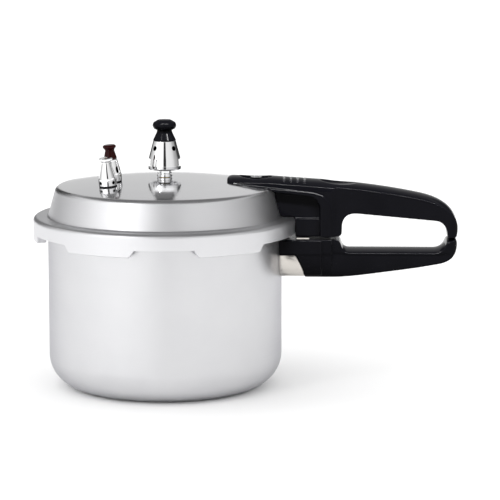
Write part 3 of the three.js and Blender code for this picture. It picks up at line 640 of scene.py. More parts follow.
def lid_profile():
    outside = rounded([
        (DOME_EDGE, dome_z(DOME_EDGE), 0), (95.7, 177.0, 8.0), (98.2, 168.0, 0), (102.1, 153.9, 0),
        (102.9, FLANGE_Z, 1.6), (SKIRT_RADIUS, FLANGE_Z, 3.6), (SKIRT_RADIUS, 142, 0),
        (SKIRT_RADIUS, SKIRT_BREAK, 0), (SKIRT_RADIUS, HOOK_LOW, 1.1), (HOOK_RADIUS, HOOK_LOW, 0.7),
        (HOOK_RADIUS, HOOK_HIGH, 0.7), (INNER_SKIRT, HOOK_HIGH, 0.5), (INNER_SKIRT, SKIRT_BREAK, 0),
        (INNER_SKIRT, FLANGE_Z - SHEET, 1.4), (101.2, FLANGE_Z - SHEET, 2.0), (95.7, 168, 0),
        (93.6, 174.6, 5.5), (DOME_EDGE_UNDER, dome_z(DOME_EDGE_UNDER) - SHEET, 0),
    ], steps=7)
    top = [dome(DOME_EDGE, k / 24) for k in range(25)]
    under = [dome(DOME_EDGE_UNDER, (20 - k) / 20, SHEET) for k in range(1, 21)]
    return top + outside[1:] + under


def fold_up_hooks(radius, height, angle):
    notch = 1 - near_lock(angle, HOOK_HALF, HOOK_SLOPE_END)
    low = (height < SKIRT_BREAK + 0.1) & (radius > HOOK_RADIUS - 1)
    share = (SKIRT_BREAK - NOTCH_LOW) / (SKIRT_BREAK - HOOK_LOW)
    flat_height = NOTCH_LOW + (height - HOOK_LOW) * share
    inside = np.clip((radius - HOOK_RADIUS) / (INNER_SKIRT - HOOK_RADIUS), 0, 1)
    flat_radius = np.where(radius < INNER_SKIRT, INNER_SKIRT - 0.8 + 0.8 * inside, radius)
    new_height = np.where(low, height + (flat_height - height) * notch, height)
    return np.where(low, radius + (flat_radius - radius) * notch, radius), new_height


lid = turned("lid", lid_profile(), sides=720)
reshape(lid.data, fold_up_hooks)
hand_over(lid, "lid_dome")
print("lid:", len(lid.data.polygons), "faces")

# %% [markdown]
# ## Weight and small valves
# The weight is a chromed bell with four steam holes, closed by a black knob, and it sits over the vent's
# nipple. The small valves are chromed too. Holes are cut with short rods set round the axis by a second
# Geometry Nodes tree. The faces that the rods leave behind are marked, so that the chrome paints them dark:
# painted shade for the inside of each hole.

# %% A ring of hole cutters
ROD_REACH = 0.02


def build_hole_tree():
    inputs = [("Base", GEOMETRY, None), ("Holes", INT, 4), ("Radius", FLOAT, 0.0015), ("Tall", FLOAT, 1.0),
              ("Reach", FLOAT, 0.02), ("Height", FLOAT, 0.0), ("First angle", FLOAT, 0.0)]
    tree, start = shape_group("ring_of_holes", inputs, "Rods")
    round_rod = {"Vertices": 28, "Radius": start["Radius"], "Depth": start["Reach"]}
    rod = add(tree, "GeometryNodeMeshCylinder", round_rod).outputs["Mesh"]
    slot = join(tree, start["Tall"], 1.0, 1.0)
    rod = add(tree, "GeometryNodeTransform", {"Geometry": rod, "Scale": slot})
    spots = add(tree, "GeometryNodeMeshLine", {"Count": start["Holes"], "Offset": (0.0, 0.0, 0.0)})
    index = add(tree, "GeometryNodeInputIndex").outputs[0]
    step = maths(tree, "DIVIDE", 2 * math.pi, start["Holes"])
    turn = maths(tree, "ADD", maths(tree, "MULTIPLY", index, step), start["First angle"])
    half = maths(tree, "MULTIPLY", start["Reach"], 0.5)
    across = maths(tree, "MULTIPLY", half, maths(tree, "COSINE", turn))
    along = maths(tree, "MULTIPLY", half, maths(tree, "SINE", turn))
    place = join(tree, across, along, start["Height"])
    moved = add(tree, "GeometryNodeSetPosition", {"Geometry": spots.outputs[0], "Position": place})
    rods = add(tree, "GeometryNodeInstanceOnPoints", {
        "Points": moved.outputs[0], "Instance": rod.outputs[0], "Rotation": join(tree, 0.0, math.pi / 2, turn),
    })
    return end_shape(tree, rods.outputs[0], start["Finish"])


HOLES = build_hole_tree()


def cut_holes(piece, count, radius, height, first_angle, tall=1.0):
    """Cuts a ring of holes and marks the faces the rods leave behind, for the finish to paint dark as shade."""
    rods = by_tree("rods", HOLES, holes=count, radius=radius * MM, height=height * MM, reach=ROD_REACH,
                   tall=tall, first_angle=math.radians(first_angle), finish=RUBBER)
    combine(piece, ("DIFFERENCE", rods), materials="TRANSFER")
    mark = piece.data.attributes.new("bore", "FLOAT", "FACE")
    mark.data.foreach_set("value", [1.0 if f.material_index else 0.0 for f in piece.data.polygons])


def lathe(node, corners, closed=True, steps=4, holes=None, place=None, name=None, **settings):
    """Turns a node's piece from its rounded profile, drills it, places it and hands it over."""
    piece = turned(name or node + "_piece", rounded(corners, steps, closed), ring=closed, **settings)
    if holes:
        cut_holes(piece, **holes)
    if place is not None:
        piece.data.transform(place)
    return hand_over(piece, node)


print("hole tree:", len(HOLES.nodes), "nodes")

# %% Weight valve and its vent
STUD = 2.5

lathe("weight_bell", [
    (STUD + 0.3, 213.0, 0.3), (5.5, 213.0, 0.4), (5.5, 207.5, 0.3), (4.1, 206.3, 0.3), (4.1, 198.4, 0.3),
    (10.5, 197.4, 0.6), (10.5, 191.9, 0.4), (12.6, 191.7, 0.6), (14.1, 192.0, 0.9), (14.6, 193.2, 1.2),
    (14.95, 195.4, 1.0), (14.25, 201.5, 0.5), (14.15, 202.1, 0.4), (10.1, 217.0, 0.25),
    (STUD + 0.3, 217.0, 0.2),
], holes={"count": 4, "radius": 2.1, "height": 211.0, "first_angle": 47})
lathe("weight_knob", [
    (0, 226.5, 0), (STUD + 0.3, 226.5, 0.2), (STUD + 0.3, 217.3, 0.2), (10.1, 217.3, 0.2), (9.95, 218.0, 0.5),
    (7.1, 223.9, 1.5), (6.5, 226.2, 1.2), (9.4, 227.8, 1.5), (10.6, 230.3, 2.4), (9.7, 233.2, 3.0),
    (5.5, 235.6, 3.0), (0, 235.9, 0),
], closed=False, steps=6, sharp=50)
lathe("weight_needle", [
    (0, 203.4, 0), (0.7, 203.6, 0.2), (2, 207.6, 0.6), (4.4, 208.6, 0.3), (4.4, 212.6, 0.3),
    (STUD, 212.6, 0.2), (STUD, 226, 0.4), (0, 226, 0),
], closed=False, sides=64)
lathe("vent_collar", [
    (5.3, 185.3, 0.2), (6.6, 185.3, 0.35), (6.6, 187.6, 0.25), (5.9, 187.9, 0.15), (5.9, 188.6, 0.15),
    (6.6, 188.9, 0.25), (6.6, 190.7, 0.35), (6.1, 191.3, 0.25), (5.3, 191.3, 0.15),
])
lathe("vent_pipe", [
    (1.5, 170, 0.2), (4, 170, 0.4), (4, 177.6, 0.3), (8.5, 178.1, 0.4), (8.5, 180.7, 0.3), (5, 180.7, 0.2),
    (5, 190.6, 0.4), (3.4, 192.2, 0.4), (3.4, 203.0, 0.4), (2.3, 205.0, 0.3), (1.5, 205.0, 0.2),
], sides=64)
print("weight and vent done")

# %% [markdown]
# A small valve stands square to the dome, so it is turned about its own axis at the origin and then placed
# by one matrix: the dome's normal gives the lean, and the dome's height gives the foot. A thin black ring in
# the rubber finish fills the gap between each valve's foot and the lid: painted shade, the dark line of that
# gap.

# %% Placing things on the dome


def on_dome(place):
    x, y = place
    height = math.sqrt(DOME_SPHERE ** 2 - x * x - y * y)
    lean = Vector((0, 0, 1)).rotation_difference(Vector((x, y, height)).normalized())
    foot = Vector((x, y, dome_z(math.hypot(x, y)))) * MM
    return Matrix.Translation(foot) @ lean.to_matrix().to_4x4()


ON_SAFETY, ON_RELEASE = on_dome(SAFETY_AT), on_dome(RELEASE_AT)

# %% Safety valve, release valve and red-brown cap


def foot_shade_ring(name, radius, place):
    """The thin black ring between a small valve's foot and the lid, painted shade for the gap. No node of the
    frame stands for it.
    """
    profile = rounded([(5.5, 0.12, 0), (radius, 0.12, 0.1), (radius, 0.8, 0.1), (5.5, 0.8, 0)], closed=True)
    gap_shade_ring = turned(name, profile, ring=True, finish=RUBBER, place=place)
    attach(gap_shade_ring, "lid")


# Each ring is painted shade: a dark line where the valve's foot meets the lid.
foot_shade_ring("safety_foot_seal", 7.75, ON_SAFETY)
foot_shade_ring("release_foot_seal", 8.25, ON_RELEASE)
lathe("safety_valve_body", [
    (1.8, -9, 0.2), (4.2, -9, 0.4), (4.2, 0.9, 0.1), (7.9, 0.9, 0.35), (7.9, 6.6, 0.5), (7.4, 7.6, 0.6),
    (3.7, 21.4, 0.9), (5.6, 22.6, 0.5), (5.6, 24.3, 0.5), (5.0, 25.0, 0.4), (1.6, 25.0, 0.25),
    (1.6, 15, 0.2), (3.6, 15, 0.2), (3.6, 1.5, 0.2), (1.8, 1.5, 0.2),
], holes={"count": 4, "radius": 1.5, "height": 3.8, "first_angle": 43}, place=ON_SAFETY,
    name="safety_body_piece")
lathe("release_valve_housing", [
    (1.8, -9, 0.2), (4.2, -9, 0.4), (4.2, 0.9, 0.1), (8.4, 0.9, 0.35), (8.6, 6.8, 0.5), (8.1, 7.9, 0.6),
    (6.3, 18.6, 0.5), (6.3, 19.5, 0.3), (5.9, 20.0, 0.25),
    (2.2, 20, 0.2), (2.2, 14, 0.2), (4.6, 14, 0.2), (4.6, 1.5, 0.2), (1.8, 1.5, 0.2),
], holes={"count": 8, "radius": 1.5, "height": 11.0, "first_angle": 2, "tall": 2.0}, place=ON_RELEASE,
    name="release_housing_piece")
lathe("release_cap", [
    (0, 27.4, 0), (2.2, 27.4, 0.2), (2.2, 20.3, 0.2), (5.8, 20.3, 0.25), (5.65, 21.4, 0.5),
    (4.0, 27.6, 1.6), (4.7, 29.3, 1.0), (5.8, 30.2, 0.7), (5.8, 31.6, 0.7), (4.4, 32.6, 1.2), (0, 32.8, 0),
], closed=False, steps=5, sharp=50, place=ON_RELEASE)
lathe("safety_poppet", [
    (0, 1.8, 0), (3.2, 1.8, 0.3), (3.2, 3.5, 0.3), (1.3, 3.5, 0.2), (1.3, 24.5, 0.4), (0, 24.6, 0),
], closed=False, sides=48, place=ON_SAFETY)
lathe("release_stem", [
    (0, 1.8, 0), (4.2, 1.8, 0.3), (4.2, 3.7, 0.3), (1.9, 3.7, 0.2), (1.9, 27, 0.4), (0, 27, 0),
], closed=False, sides=48, place=ON_RELEASE)
print("small valves done")

# %% [markdown]
# ## Springs
# A coil spring is wire on a helix: the shape follows a path, so it is a Geometry Nodes tree again. A spiral
# curve gives the helix and a circle gives the wire. On the cooker each spring shortens as its valve rises; here
# each coil is made at one length, between two given heights.

# %% Springs


def build_spring_tree():
    inputs = [("Base", GEOMETRY, None), ("Coil radius", FLOAT, 0.0025), ("Wire radius", FLOAT, 0.0004),
              ("Length", FLOAT, 0.01), ("Turns", FLOAT, 5.0)]
    tree, start = shape_group("coil_spring", inputs, "Spring")
    helix = add(tree, "GeometryNodeCurveSpiral", {
        "Resolution": 32, "Rotations": start["Turns"], "Start Radius": start["Coil radius"],
        "End Radius": start["Coil radius"], "Height": start["Length"],
    })
    wire = add(tree, "GeometryNodeCurvePrimitiveCircle", {"Resolution": 12, "Radius": start["Wire radius"]})
    coil = add(tree, "GeometryNodeCurveToMesh", {
        "Curve": helix.outputs[0], "Profile Curve": wire.outputs[0], "Fill Caps": True,
    })
    return end_shape(tree, coil.outputs[0], start["Finish"])


SPRINGS = build_spring_tree()


def spring(node, radius, wire, low, high, place):
    """A coil between two heights above the dome, made at one length."""
    length = (high - low - 2 * wire) * MM
    piece = by_tree(node + "_piece", SPRINGS, sharp=60, coil_radius=radius * MM, wire_radius=wire * MM,
                    length=length, turns=5.0, finish=STEEL)
    piece.data.transform(place @ Matrix.Translation((0, 0, (low + wire) * MM)))
    hand_over(piece, node)
    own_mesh(piece)


spring("safety_spring", 2.5, 0.35, 3.8, 14.7, ON_SAFETY)
spring("release_spring", 3.2, 0.4, 4.0, 13.7, ON_RELEASE)
print("springs done")

# %% [markdown]
# ## The handles
# Each handle is one bakelite moulding with soft edges all over. Its form is simple to say as blocks: a side
# outline as thick as the grip, a wider hood, a raised band along the hood's lower edge, pockets and dishes.
# The blocks are joined and cut with booleans, then remeshed on a fine grid and smoothed. That melts every
# edge to the small radius that a moulding has, which a bevel can't do where three outlines cross.

# %% Blocks for the handles


def prism(name, outline, half_width, axis="Y", low=None, high=None):
    """A closed block with that outline. Axis Y takes (X, Z) points, X takes (Y, Z) and Z takes (X, Y)."""
    low, high = (-half_width, half_width) if low is None else (low, high)
    order = {"Y": (0, 2, 1), "X": (2, 0, 1), "Z": (0, 1, 2)}[axis]
    count = len(outline)
    points = [[(p[0], p[1], t)[i] * MM for i in order] for t in (low, high) for p in outline]
    sides = [(i, (i + 1) % count, count + (i + 1) % count, count + i) for i in range(count)]
    ends = [tuple(range(count))[::-1], tuple(range(count, 2 * count))]
    mesh = bpy.data.meshes.new(name)
    mesh.from_pydata(points, [], ends + sides)
    face_outwards(mesh)
    return new_object(name, mesh)


def rectangle(x_low, z_low, x_high, z_high):
    return [(x_low, z_low), (x_high, z_low), (x_high, z_high), (x_low, z_high)]


def at(*points):
    return [Vector(p) for p in points]


def mould(piece, passes, grid=0.7):
    """Melts a piece's edges as a moulding's are: a remesh on a fine grid (in mm), then smoothing."""
    remesh = piece.modifiers.new("remesh", "REMESH")
    remesh.mode, remesh.voxel_size, remesh.adaptivity = "VOXEL", grid * MM, 0.0
    soften = piece.modifiers.new("soften", "SMOOTH")
    soften.factor, soften.iterations = 0.5, passes
    settle(piece, 180)
    return piece


def curve(*points, steps=10):
    """Points of a quadratic or cubic Bezier curve, its end left out for the next stretch."""
    result = []
    for k in range(steps):
        row = [Vector(p) for p in points]
        while len(row) > 1:
            row = [a.lerp(b, k / steps) for a, b in zip(row, row[1:])]
        result.append(row[0])
    return result


# %% [markdown]
# A grip's top is not flat from side to side. It is a little higher along the middle, which keeps its side
# outline soft and lets light run along it. The same rule serves both handles.

# %% A crowned surface


def crown(piece, line, rise, fall, half_width, reach):
    """Lifts the surface near a side line by `rise` in the middle, and lowers it by `fall` towards the edges.

    The effect fades out at `reach` from the line. Points move up and down only.
    """
    path = resampled(line, 1.0)
    along = np.gradient(path, axis=0)
    upright = along[:, 0] / np.linalg.norm(along, axis=1)
    points = get_points(piece.data)
    away = np.linalg.norm(points[:, None, [0, 2]] / MM - path[None, :, :], axis=2)
    weight = np.clip(1 - away.min(axis=1) / reach, 0, 1)
    shift = (rise - fall * (points[:, 1] / MM / half_width) ** 2) * weight * MM
    points[:, 2] += upright[away.argmin(axis=1)] * shift
    set_points(piece.data, points)


def resampled(line, spacing):
    """Points at an even spacing along a line."""
    path = np.array([tuple(p) for p in line])
    lengths = np.concatenate([[0], np.cumsum(np.linalg.norm(np.diff(path, axis=0), axis=1))])
    stations = np.arange(0, lengths[-1], spacing)
    return np.stack([np.interp(stations, lengths, path[:, i]) for i in (0, 1)], axis=1)


print("a 10 mm line at 1 mm spacing has", len(resampled([(0, 0), (10, 0)], 1.0)), "stations")

# %% [markdown]
# The upper handle's hood lies on the dome and overhangs the rim. Its lower edge is a raised band that runs
# down from the nose and then turns into a post behind the rim. In front of the post the handle is only a
# narrow web. An oval well on top takes the nut, and a second oval is a dish for the thumb.

# %% Upper handle's outlines
HOOD_HALF, BAND_HALF, GRIP_HALF, WEB_HALF = 20.0, 21.0, 17.5, 13.5
BLOCK_LOW, NOSE_X = 134.4, 54.7
WIDE_UNTIL = 147


def upper_side():
    """Side outline of the upper handle, filled down to the block's underside over the lid."""
    points = at((NOSE_X, 181), (54.9, 182.9))
    points += curve((54.9, 182.9), (56.3, 185.0), (60, 185.1), steps=5)[1:]
    points += at((60, 185.1), (92.7, 184.8))
    points += curve((136.9, 181.9), (186, 178.4), (224.3, 170.3))
    points += curve((224.3, 170.3), (252, 164.5), (260, 149.5), (256.4, 135.2), steps=14)
    points += curve((256.4, 135.2), (255.6, 133), (253.6, 133), steps=3)
    points += curve((250, 133), (248.2, 133.2), (248, 135), steps=3)
    points += curve((248, 135), (247.8, 148.6), (236.6, 149.2))
    points += curve((169.8, 155.2), (155.8, 156.4), (155.8, 142.5))
    points += curve((155.8, 138.5), (155.4, 135), (152, 135), steps=5)
    points += at((152, 135), (142.3, 135), (141, BLOCK_LOW), (60, BLOCK_LOW))
    return points


def band_side():
    """Side outline of the raised band and the post it turns into."""
    points = at((NOSE_X, 183.0), (61, 183.3))
    points += curve((127, 175.2), (146, 172.6), (146, 154))
    points += at((146, BLOCK_LOW), (137, BLOCK_LOW))
    points += curve((137, 156), (137, 169.5), (126, 171.0))
    points += at((90, 175.4), (NOSE_X, 179.6))
    return points


def handle_plan(root_half, start_x, end_x, nose):
    """A handle's outline from above: its root's half width, then the grip's."""
    points = curve((start_x, nose - root_half), (start_x, -root_half), (start_x + nose, -root_half), steps=6)
    points += at((WIDE_UNTIL, -root_half), (WIDE_UNTIL + 5, -GRIP_HALF), (end_x - 12, -GRIP_HALF))
    points += curve((end_x - 12, -GRIP_HALF), (end_x, -GRIP_HALF), (end_x, 11 - GRIP_HALF), steps=8)
    return points + [Vector((p.x, -p.y)) for p in reversed(points)]


def lid_room():
    """The space the lid takes under the handle, with its working gaps."""
    outline = rounded([
        (0, 185.1, 0), (40, dome_z(40) + 0.15, 0), (70, dome_z(70) + 0.15, 0), (94.2, dome_z(94.2) + 0.15, 0),
        (97.2, 176.3, 3), (98.5, 168, 0), (102.6, 153.2, 1), (104.6, 151.7, 1.5), (115.8, 151.7, 3),
        (115.8, 120, 0), (0, 120, 0),
    ], steps=5)
    return turned("lid_room", outline, sides=240)


print("upper handle's side outline:", len(upper_side()), "points")

# %% Upper handle
WIDE = 30
FULL_DEPTH = {"axis": "Z", "low": 120, "high": 190}


def upper_handle():
    side = prism("upper_handle_piece", upper_side(), WIDE)
    # The top face is narrower than the hood's skirts, and the web is narrower still.
    section = [(18.3, 186), (HOOD_HALF, 177), (HOOD_HALF, 130)]
    section = [(-18.3, 186)] + section + [(-HOOD_HALF, 130), (-HOOD_HALF, 177)]
    pocket = at((80, 130), (80, 176.6), (126, 171.0))
    pocket += curve((126, 171.0), (137, 169.5), (137, 156)) + at((137, 156), (137, 130))
    web = prism("web", rectangle(70, 120, 150, 190), WEB_HALF)
    pockets = combine(prism("pockets", pocket, WIDE), ("DIFFERENCE", web))
    foot = prism("foot", rectangle(112, BLOCK_LOW, 137.5, 150.5), WEB_HALF + 1.6)
    band_plan = prism("band_plan", handle_plan(BAND_HALF, NOSE_X, 256, 14), 0, **FULL_DEPTH)
    band = combine(prism("band", band_side(), BAND_HALF), ("INTERSECT", band_plan))
    well = cylinder("well", 1.0, 181.8, 190, sides=64)
    well.data.transform(BOLT_PLACE @ Matrix.Diagonal((14.0, 11.0, 1, 1)))
    dish = turned("dish", arc(0, 0, 1.0, -90, 90, 16), sides=64)
    dish.data.transform(Matrix.Translation((DISH_X * MM, 0, 181.6 * MM)) @ Matrix.Diagonal((17.5, 12.0, 4.4, 1)))
    combine(
        side,
        ("INTERSECT", prism("section", section, 0, "X", 40, 270)),
        ("INTERSECT", prism("plan", handle_plan(HOOD_HALF, NOSE_X, 258.2, 14), 0, **FULL_DEPTH)),
        ("DIFFERENCE", pockets),
        ("UNION", band),
        ("UNION", foot),
        ("DIFFERENCE", lid_room()),
        ("DIFFERENCE", well),
        ("DIFFERENCE", dish),
    )
    return mould(side, passes=6)


upper = upper_handle()
print("upper handle:", len(upper.data.polygons), "faces")

# %% [markdown]
# Between the well and the thumb dish stand four low bars for grip. A row at one pitch is one bar repeated,
# so a small tree instances it along a line. The line leans with the handle's top.

# %% Grip bars


def build_row_tree():
    inputs = [("Base", GEOMETRY, None), ("Count", INT, 4), ("Pitch", VECTOR, None), ("Size", VECTOR, None)]
    tree, start = shape_group("row_of_bars", inputs, "Bars")
    bar = add(tree, "GeometryNodeMeshCube", {"Size": start["Size"]}).outputs["Mesh"]
    line = add(tree, "GeometryNodeMeshLine", {"Count": start["Count"], "Offset": start["Pitch"]})
    row = add(tree, "GeometryNodeInstanceOnPoints", {"Points": line.outputs[0], "Instance": bar})
    return end_shape(tree, row.outputs[0], start["Finish"])


def grip_bars():
    bars = by_tree("grip_bars", build_row_tree(), count=4, pitch=(6 * MM, 0, -0.39 * MM),
                   size=(2.2 * MM, 30 * MM, 2.8 * MM), finish=BAKELITE)
    bars.data.transform(Matrix.Translation((105 * MM, 0, 183.5 * MM)))
    edges = bars.modifiers.new("soft edges", "BEVEL")
    edges.width, edges.segments = 0.35 * MM, 3
    return settle(bars, 40)


combine(upper, ("UNION", grip_bars()))
# The crowned line runs along the top, from behind the nose to where the grip's end turns down.
top_line = [p for p in upper_side()[3:] if p.x > 57][:31]
crown(upper, top_line, rise=1.6, fall=4.0, half_width=18.0, reach=11.0)
smooth_by_angle(upper.data, 180)
hand_over(upper, "upper_handle")
print("upper handle with its grip bars:", len(upper.data.polygons), "faces")

# %% [markdown]
# The lower handle is bolted to the pot through the flame guard. Its root is a rounded trough, wide at the
# top, cut to the pot's curve and set back from the guard along a sloping curve. A hole from below lets the
# screw reach its nut.

# %% Lower handle
LOWER_TOP = 132.4
GUARD_TOP = 118.9
HANDLE_GAP, GUARD_GAP = 0.25, 0.2


def guard_side(grow):
    points = at((90, 96), (123.4 + grow, 96))
    points += curve((123.4 + grow, 98), (122.2 + grow, 108), (114.9 + grow, GUARD_TOP + grow), steps=12)
    return points + at((114.9 + grow, GUARD_TOP + grow), (90, GUARD_TOP + grow))


def root_section(top_half, low_half, low, high, corner):
    """End outline of a trough: flat on top, straight sides leaning in, a round bottom."""
    half = at((top_half, high), (top_half - 0.6, high - 12))
    half += curve((top_half - 1.4, high - 14), (low_half + 1.5, low + 0.2), (low_half - corner, low), steps=12)
    half += at((low_half - corner, low))
    return half + [Vector((-p.x, p.y)) for p in reversed(half)]


def lower_side():
    points = at((98, LOWER_TOP), (150.5, LOWER_TOP))
    points += curve((150.5, LOWER_TOP), (154.4, 131.8), (155.6, 127), steps=5)[1:]
    points += curve((155.6, 127), (157, 122.3), (163, 122.3), steps=8)
    points += curve((236, 122.3), (244.6, 122.3), (247.4, 130.2), steps=8)
    points += curve((247.4, 130.2), (248.2, LOWER_TOP), (249.8, LOWER_TOP), steps=3)
    points += curve((254.4, LOWER_TOP), (256.8, 132), (256.8, 128.4), steps=4)
    points += curve((256.8, 128.4), (256.8, 114), (240.8, 110.8), steps=14)
    points += at((240.8, 110.8), (221.4, 107.3))
    points += curve((179.1, 101.3), (162, 98.8), (149.2, 98.2), steps=8)
    return points + at((149.2, 98.2), (98, 98.2))


def lower_handle():
    plan = prism("plan", handle_plan(GRIP_HALF, 95, 257.4, 2), 0, "Z", 90, 140)
    grip = combine(prism("lower_handle_piece", lower_side(), WIDE), ("INTERSECT", plan))
    trough = root_section(23, 17, 98.2, LOWER_TOP, 6)
    post = root_section(20.5, 16, 98.6, LOWER_TOP, 6)
    root_box = prism("root", trough, 0, "X", 96, 138)
    post_box = prism("post", post, 0, "X", 137, 147)
    round_grip = root_section(GRIP_HALF + 0.4, 15.5, 97.8, LOWER_TOP + 1, 5)
    combine(
        grip,
        ("INTERSECT", prism("grip_section", round_grip, 0, "X", 90, 270)),
        ("UNION", root_box),
        ("UNION", post_box),
        ("DIFFERENCE", cylinder("pot_room", POT_RADIUS + HANDLE_GAP, 80, 150, sides=360)),
        ("DIFFERENCE", prism("guard_room", guard_side(0.0), WIDE)),
        ("DIFFERENCE", cylinder("counterbore", 4.9, 90, 103.3, sides=48, place=SCREW_PLACE)),
    )
    return mould(grip, passes=5)


lower = lower_handle()
# The crowned line runs along the underside of the finger loop and over the lip at the grip's end.
crown(lower, lower_side()[6:30], rise=0.7, fall=2.6, half_width=17.5, reach=8.0)
print("lower handle:", len(lower.data.polygons), "faces")
hand_over(lower, "lower_handle")

# %% [markdown]
# ## Flame guard
# The guard is a sleeve of bright stainless sheet with rounded lower edges, between the pot's wall and the
# handle. It keeps the flame off the bakelite. It is a block hollowed by a smaller block, with its edges
# rolled by a small bevel.

# %% Flame guard


def flame_guard():
    sleeve = prism("flame_guard_piece", root_section(21.0, 17.0, 99, GUARD_TOP - 0.3, 6), 0, "X", 95, 125)
    combine(
        sleeve,
        ("DIFFERENCE", prism("hollow", root_section(20.0, 16.0, 100, GUARD_TOP - 1.3, 5.5), 0, "X", 90, 130)),
        ("INTERSECT", prism("guard_shape", guard_side(-0.25), 40)),
        ("DIFFERENCE", cylinder("pot_room", POT_RADIUS + GUARD_GAP, 80, 150, sides=360)),
    )
    roll = sleeve.modifiers.new("roll", "BEVEL")
    roll.width, roll.segments, roll.limit_method, roll.angle_limit = 0.25 * MM, 2, "ANGLE", math.radians(40)
    return settle(sleeve, 35)


guard = hand_over(flame_guard(), "flame_guard")
print("flame guard:", len(guard.data.polygons), "faces")

# %% [markdown]
# ## Gasket, rivets, washers and nuts
# The gasket is a moulded rubber ring with a lip that steam presses outwards. The small hardware is turned
# as well. A nut is a profile turned with six sides, which leaves its corners sharp and its ends chamfered.

# %% Hardware


def washer(node, inner, outer, low, high, place=None):
    lathe(node, [(inner, low, 0.15), (outer, low, 0.2), (outer, high, 0.2), (inner, high, 0.15)],
          sides=48, place=place)


def nut(node, corners, bore, low, high, place, chamfer=0.5, drop=0.3):
    edge, inner = corners / 2, corners / 2 - chamfer
    profile = [(bore, low), (inner, low), (edge, low + drop), (edge, high - drop), (inner, high), (bore, high)]
    hand_over(turned(node + "_piece", profile, sides=6, sharp=20, ring=True, place=place), node)


lathe("gasket", [
    (99.6, 144.3, 0.5), (104.0, 144.3, 0.3), (105.5, 145.3, 0.6), (107.5, 144.3, 0.5), (112.7, 144.3, 0.6),
    (112.7, 148.6, 0.8), (103.0, 148.6, 0.8), (99.6, 147.0, 0.9),
], sides=360)
washer("handle_washer", 3.4, 6.6, 182.1, 182.7, BOLT_PLACE)
washer("vent_washer", 5.4, 8.5, 181.0, 182.1)
washer("lower_handle_washer", 2.4, 4.4, 102.0, 102.9, SCREW_PLACE)
for valve, place in (("safety", ON_SAFETY), ("release", ON_RELEASE)):
    washer(valve + "_valve_washer", 4.5, 7.5, -3.9, -2.9, place)
nut("handle_nut", 10.6, 3.4, 183.0, 185.5, BOLT_PLACE)
nut("lower_handle_nut", 8.4, 2.4, 115.3, 118.6, SCREW_PLACE)
for valve, place in (("safety", ON_SAFETY), ("release", ON_RELEASE)):
    nut(valve + "_valve_nut", 15, 4.5, -7.8, -4.2, place)
print("gasket, washers and nuts done")

# %% Bolts, screws and rivets
POT_RIVET = [(0, 97.6, 0), (3.6, 98.0, 1.5), (5, 99.3, 0.4), (2.5, 99.3, 0.1), (2.5, 105.6, 0.1),
             (4.4, 105.6, 0.4), (3.4, 107.0, 1.0), (0, 107.3, 0)]
LID_RIVET = [(0, -4.8, 0), (2.6, -4.6, 1.0), (3.4, -3.4, 0.3), (1.8, -3.4, 0.1), (1.8, 2.2, 0.1),
             (3.2, 2.2, 0.3), (2.4, 3.2, 1.0), (0, 3.4, 0)]
WALL_LEAN = math.degrees(math.atan2(4.4, 16.0))


def along_x(x, z, y=0.0, lean=0.0):
    """A matrix that lays a piece turned about Z along X, its foot at (x, y, z)."""
    return Matrix.Translation((x * MM, y * MM, z * MM)) @ Matrix.Rotation(math.radians(90 - lean), 4, "Y")


def pin(node, corners, place):
    lathe(node, corners, closed=False, sides=48, place=place)


pin("pot_bracket_rivet_lower", POT_RIVET, along_x(0, 106))
pin("pot_bracket_rivet_upper", POT_RIVET, along_x(0, 125))
pin("lid_bracket_rivet_left", LID_RIVET, along_x(100.27, 160.5, -5.5, WALL_LEAN))
pin("lid_bracket_rivet_right", LID_RIVET, along_x(100.27, 160.5, 5.5, WALL_LEAN))
pin("handle_bolt", [
    (0, 172.4, 0), (5.2, 172.4, 0.4), (6, 173.2, 0.5), (6, 175.4, 0.4), (3, 175.4, 0.2), (3, 185.7, 0.4),
    (2.4, 186.3, 0.3), (0, 186.3, 0),
], BOLT_PLACE)
pin("bracket_screw", [
    (0, 132.8, 0), (3.6, 132.8, 0.2), (3.4, 134.2, 0.1), (1.9, 135.2, 0.2), (1.9, 147, 0.3), (0, 147.6, 0),
], STRIP_SCREW_PLACE)
pin("lower_handle_screw", [
    (0, 99.5, 0), (3.8, 99.5, 0.5), (4.2, 100.4, 0.5), (4.2, 101.7, 0.2), (2, 101.7, 0.1), (2, 120, 0.3),
    (0, 120, 0),
], SCREW_PLACE)
print("hardware done:", len(made_for), "nodes replaced so far")

# %% [markdown]
# The brackets and the slotted cover under the lid already have their true shape in the frame. They stay,
# and only take a finish.

# %% Finishes on the carried-over nodes
for name, node in frame["nodes"].items():
    if name not in made_for:
        node.data.materials.clear()
        node.data.materials.append(FINISHES[node_slot[name]])
        print("kept from the frame:", name)

# %% [markdown]
# ## Floor, light and camera
# The cooker stands in a white tent on a white floor. The tent is in the world's colour: bright panels left
# and right of the camera with a narrow dark slit between them, and a greyer surround behind. Chrome shows
# such a tent as white bands with thin dark stripes, and satin metal as a soft run from light to grey. Over
# the sides lies a canopy, and the roof straight above it is dim.

# %% Floor


def build_floor(edge=30.0):
    mesh = bpy.data.meshes.new("floor")
    mesh.from_pydata([(*corner, 0) for corner in rectangle(-edge, -edge, edge, edge)], [], [(0, 1, 2, 3)])
    floor = new_object("floor", mesh)
    material, _, shader = blank_material("floor_paper")
    shader.inputs["Base Color"].default_value = (0.93, 0.93, 0.93, 1)
    shader.inputs["Roughness"].default_value = 0.9
    shader.inputs["Specular IOR Level"].default_value = 0.1
    mesh.materials.append(material)


build_floor()
print("floor laid")

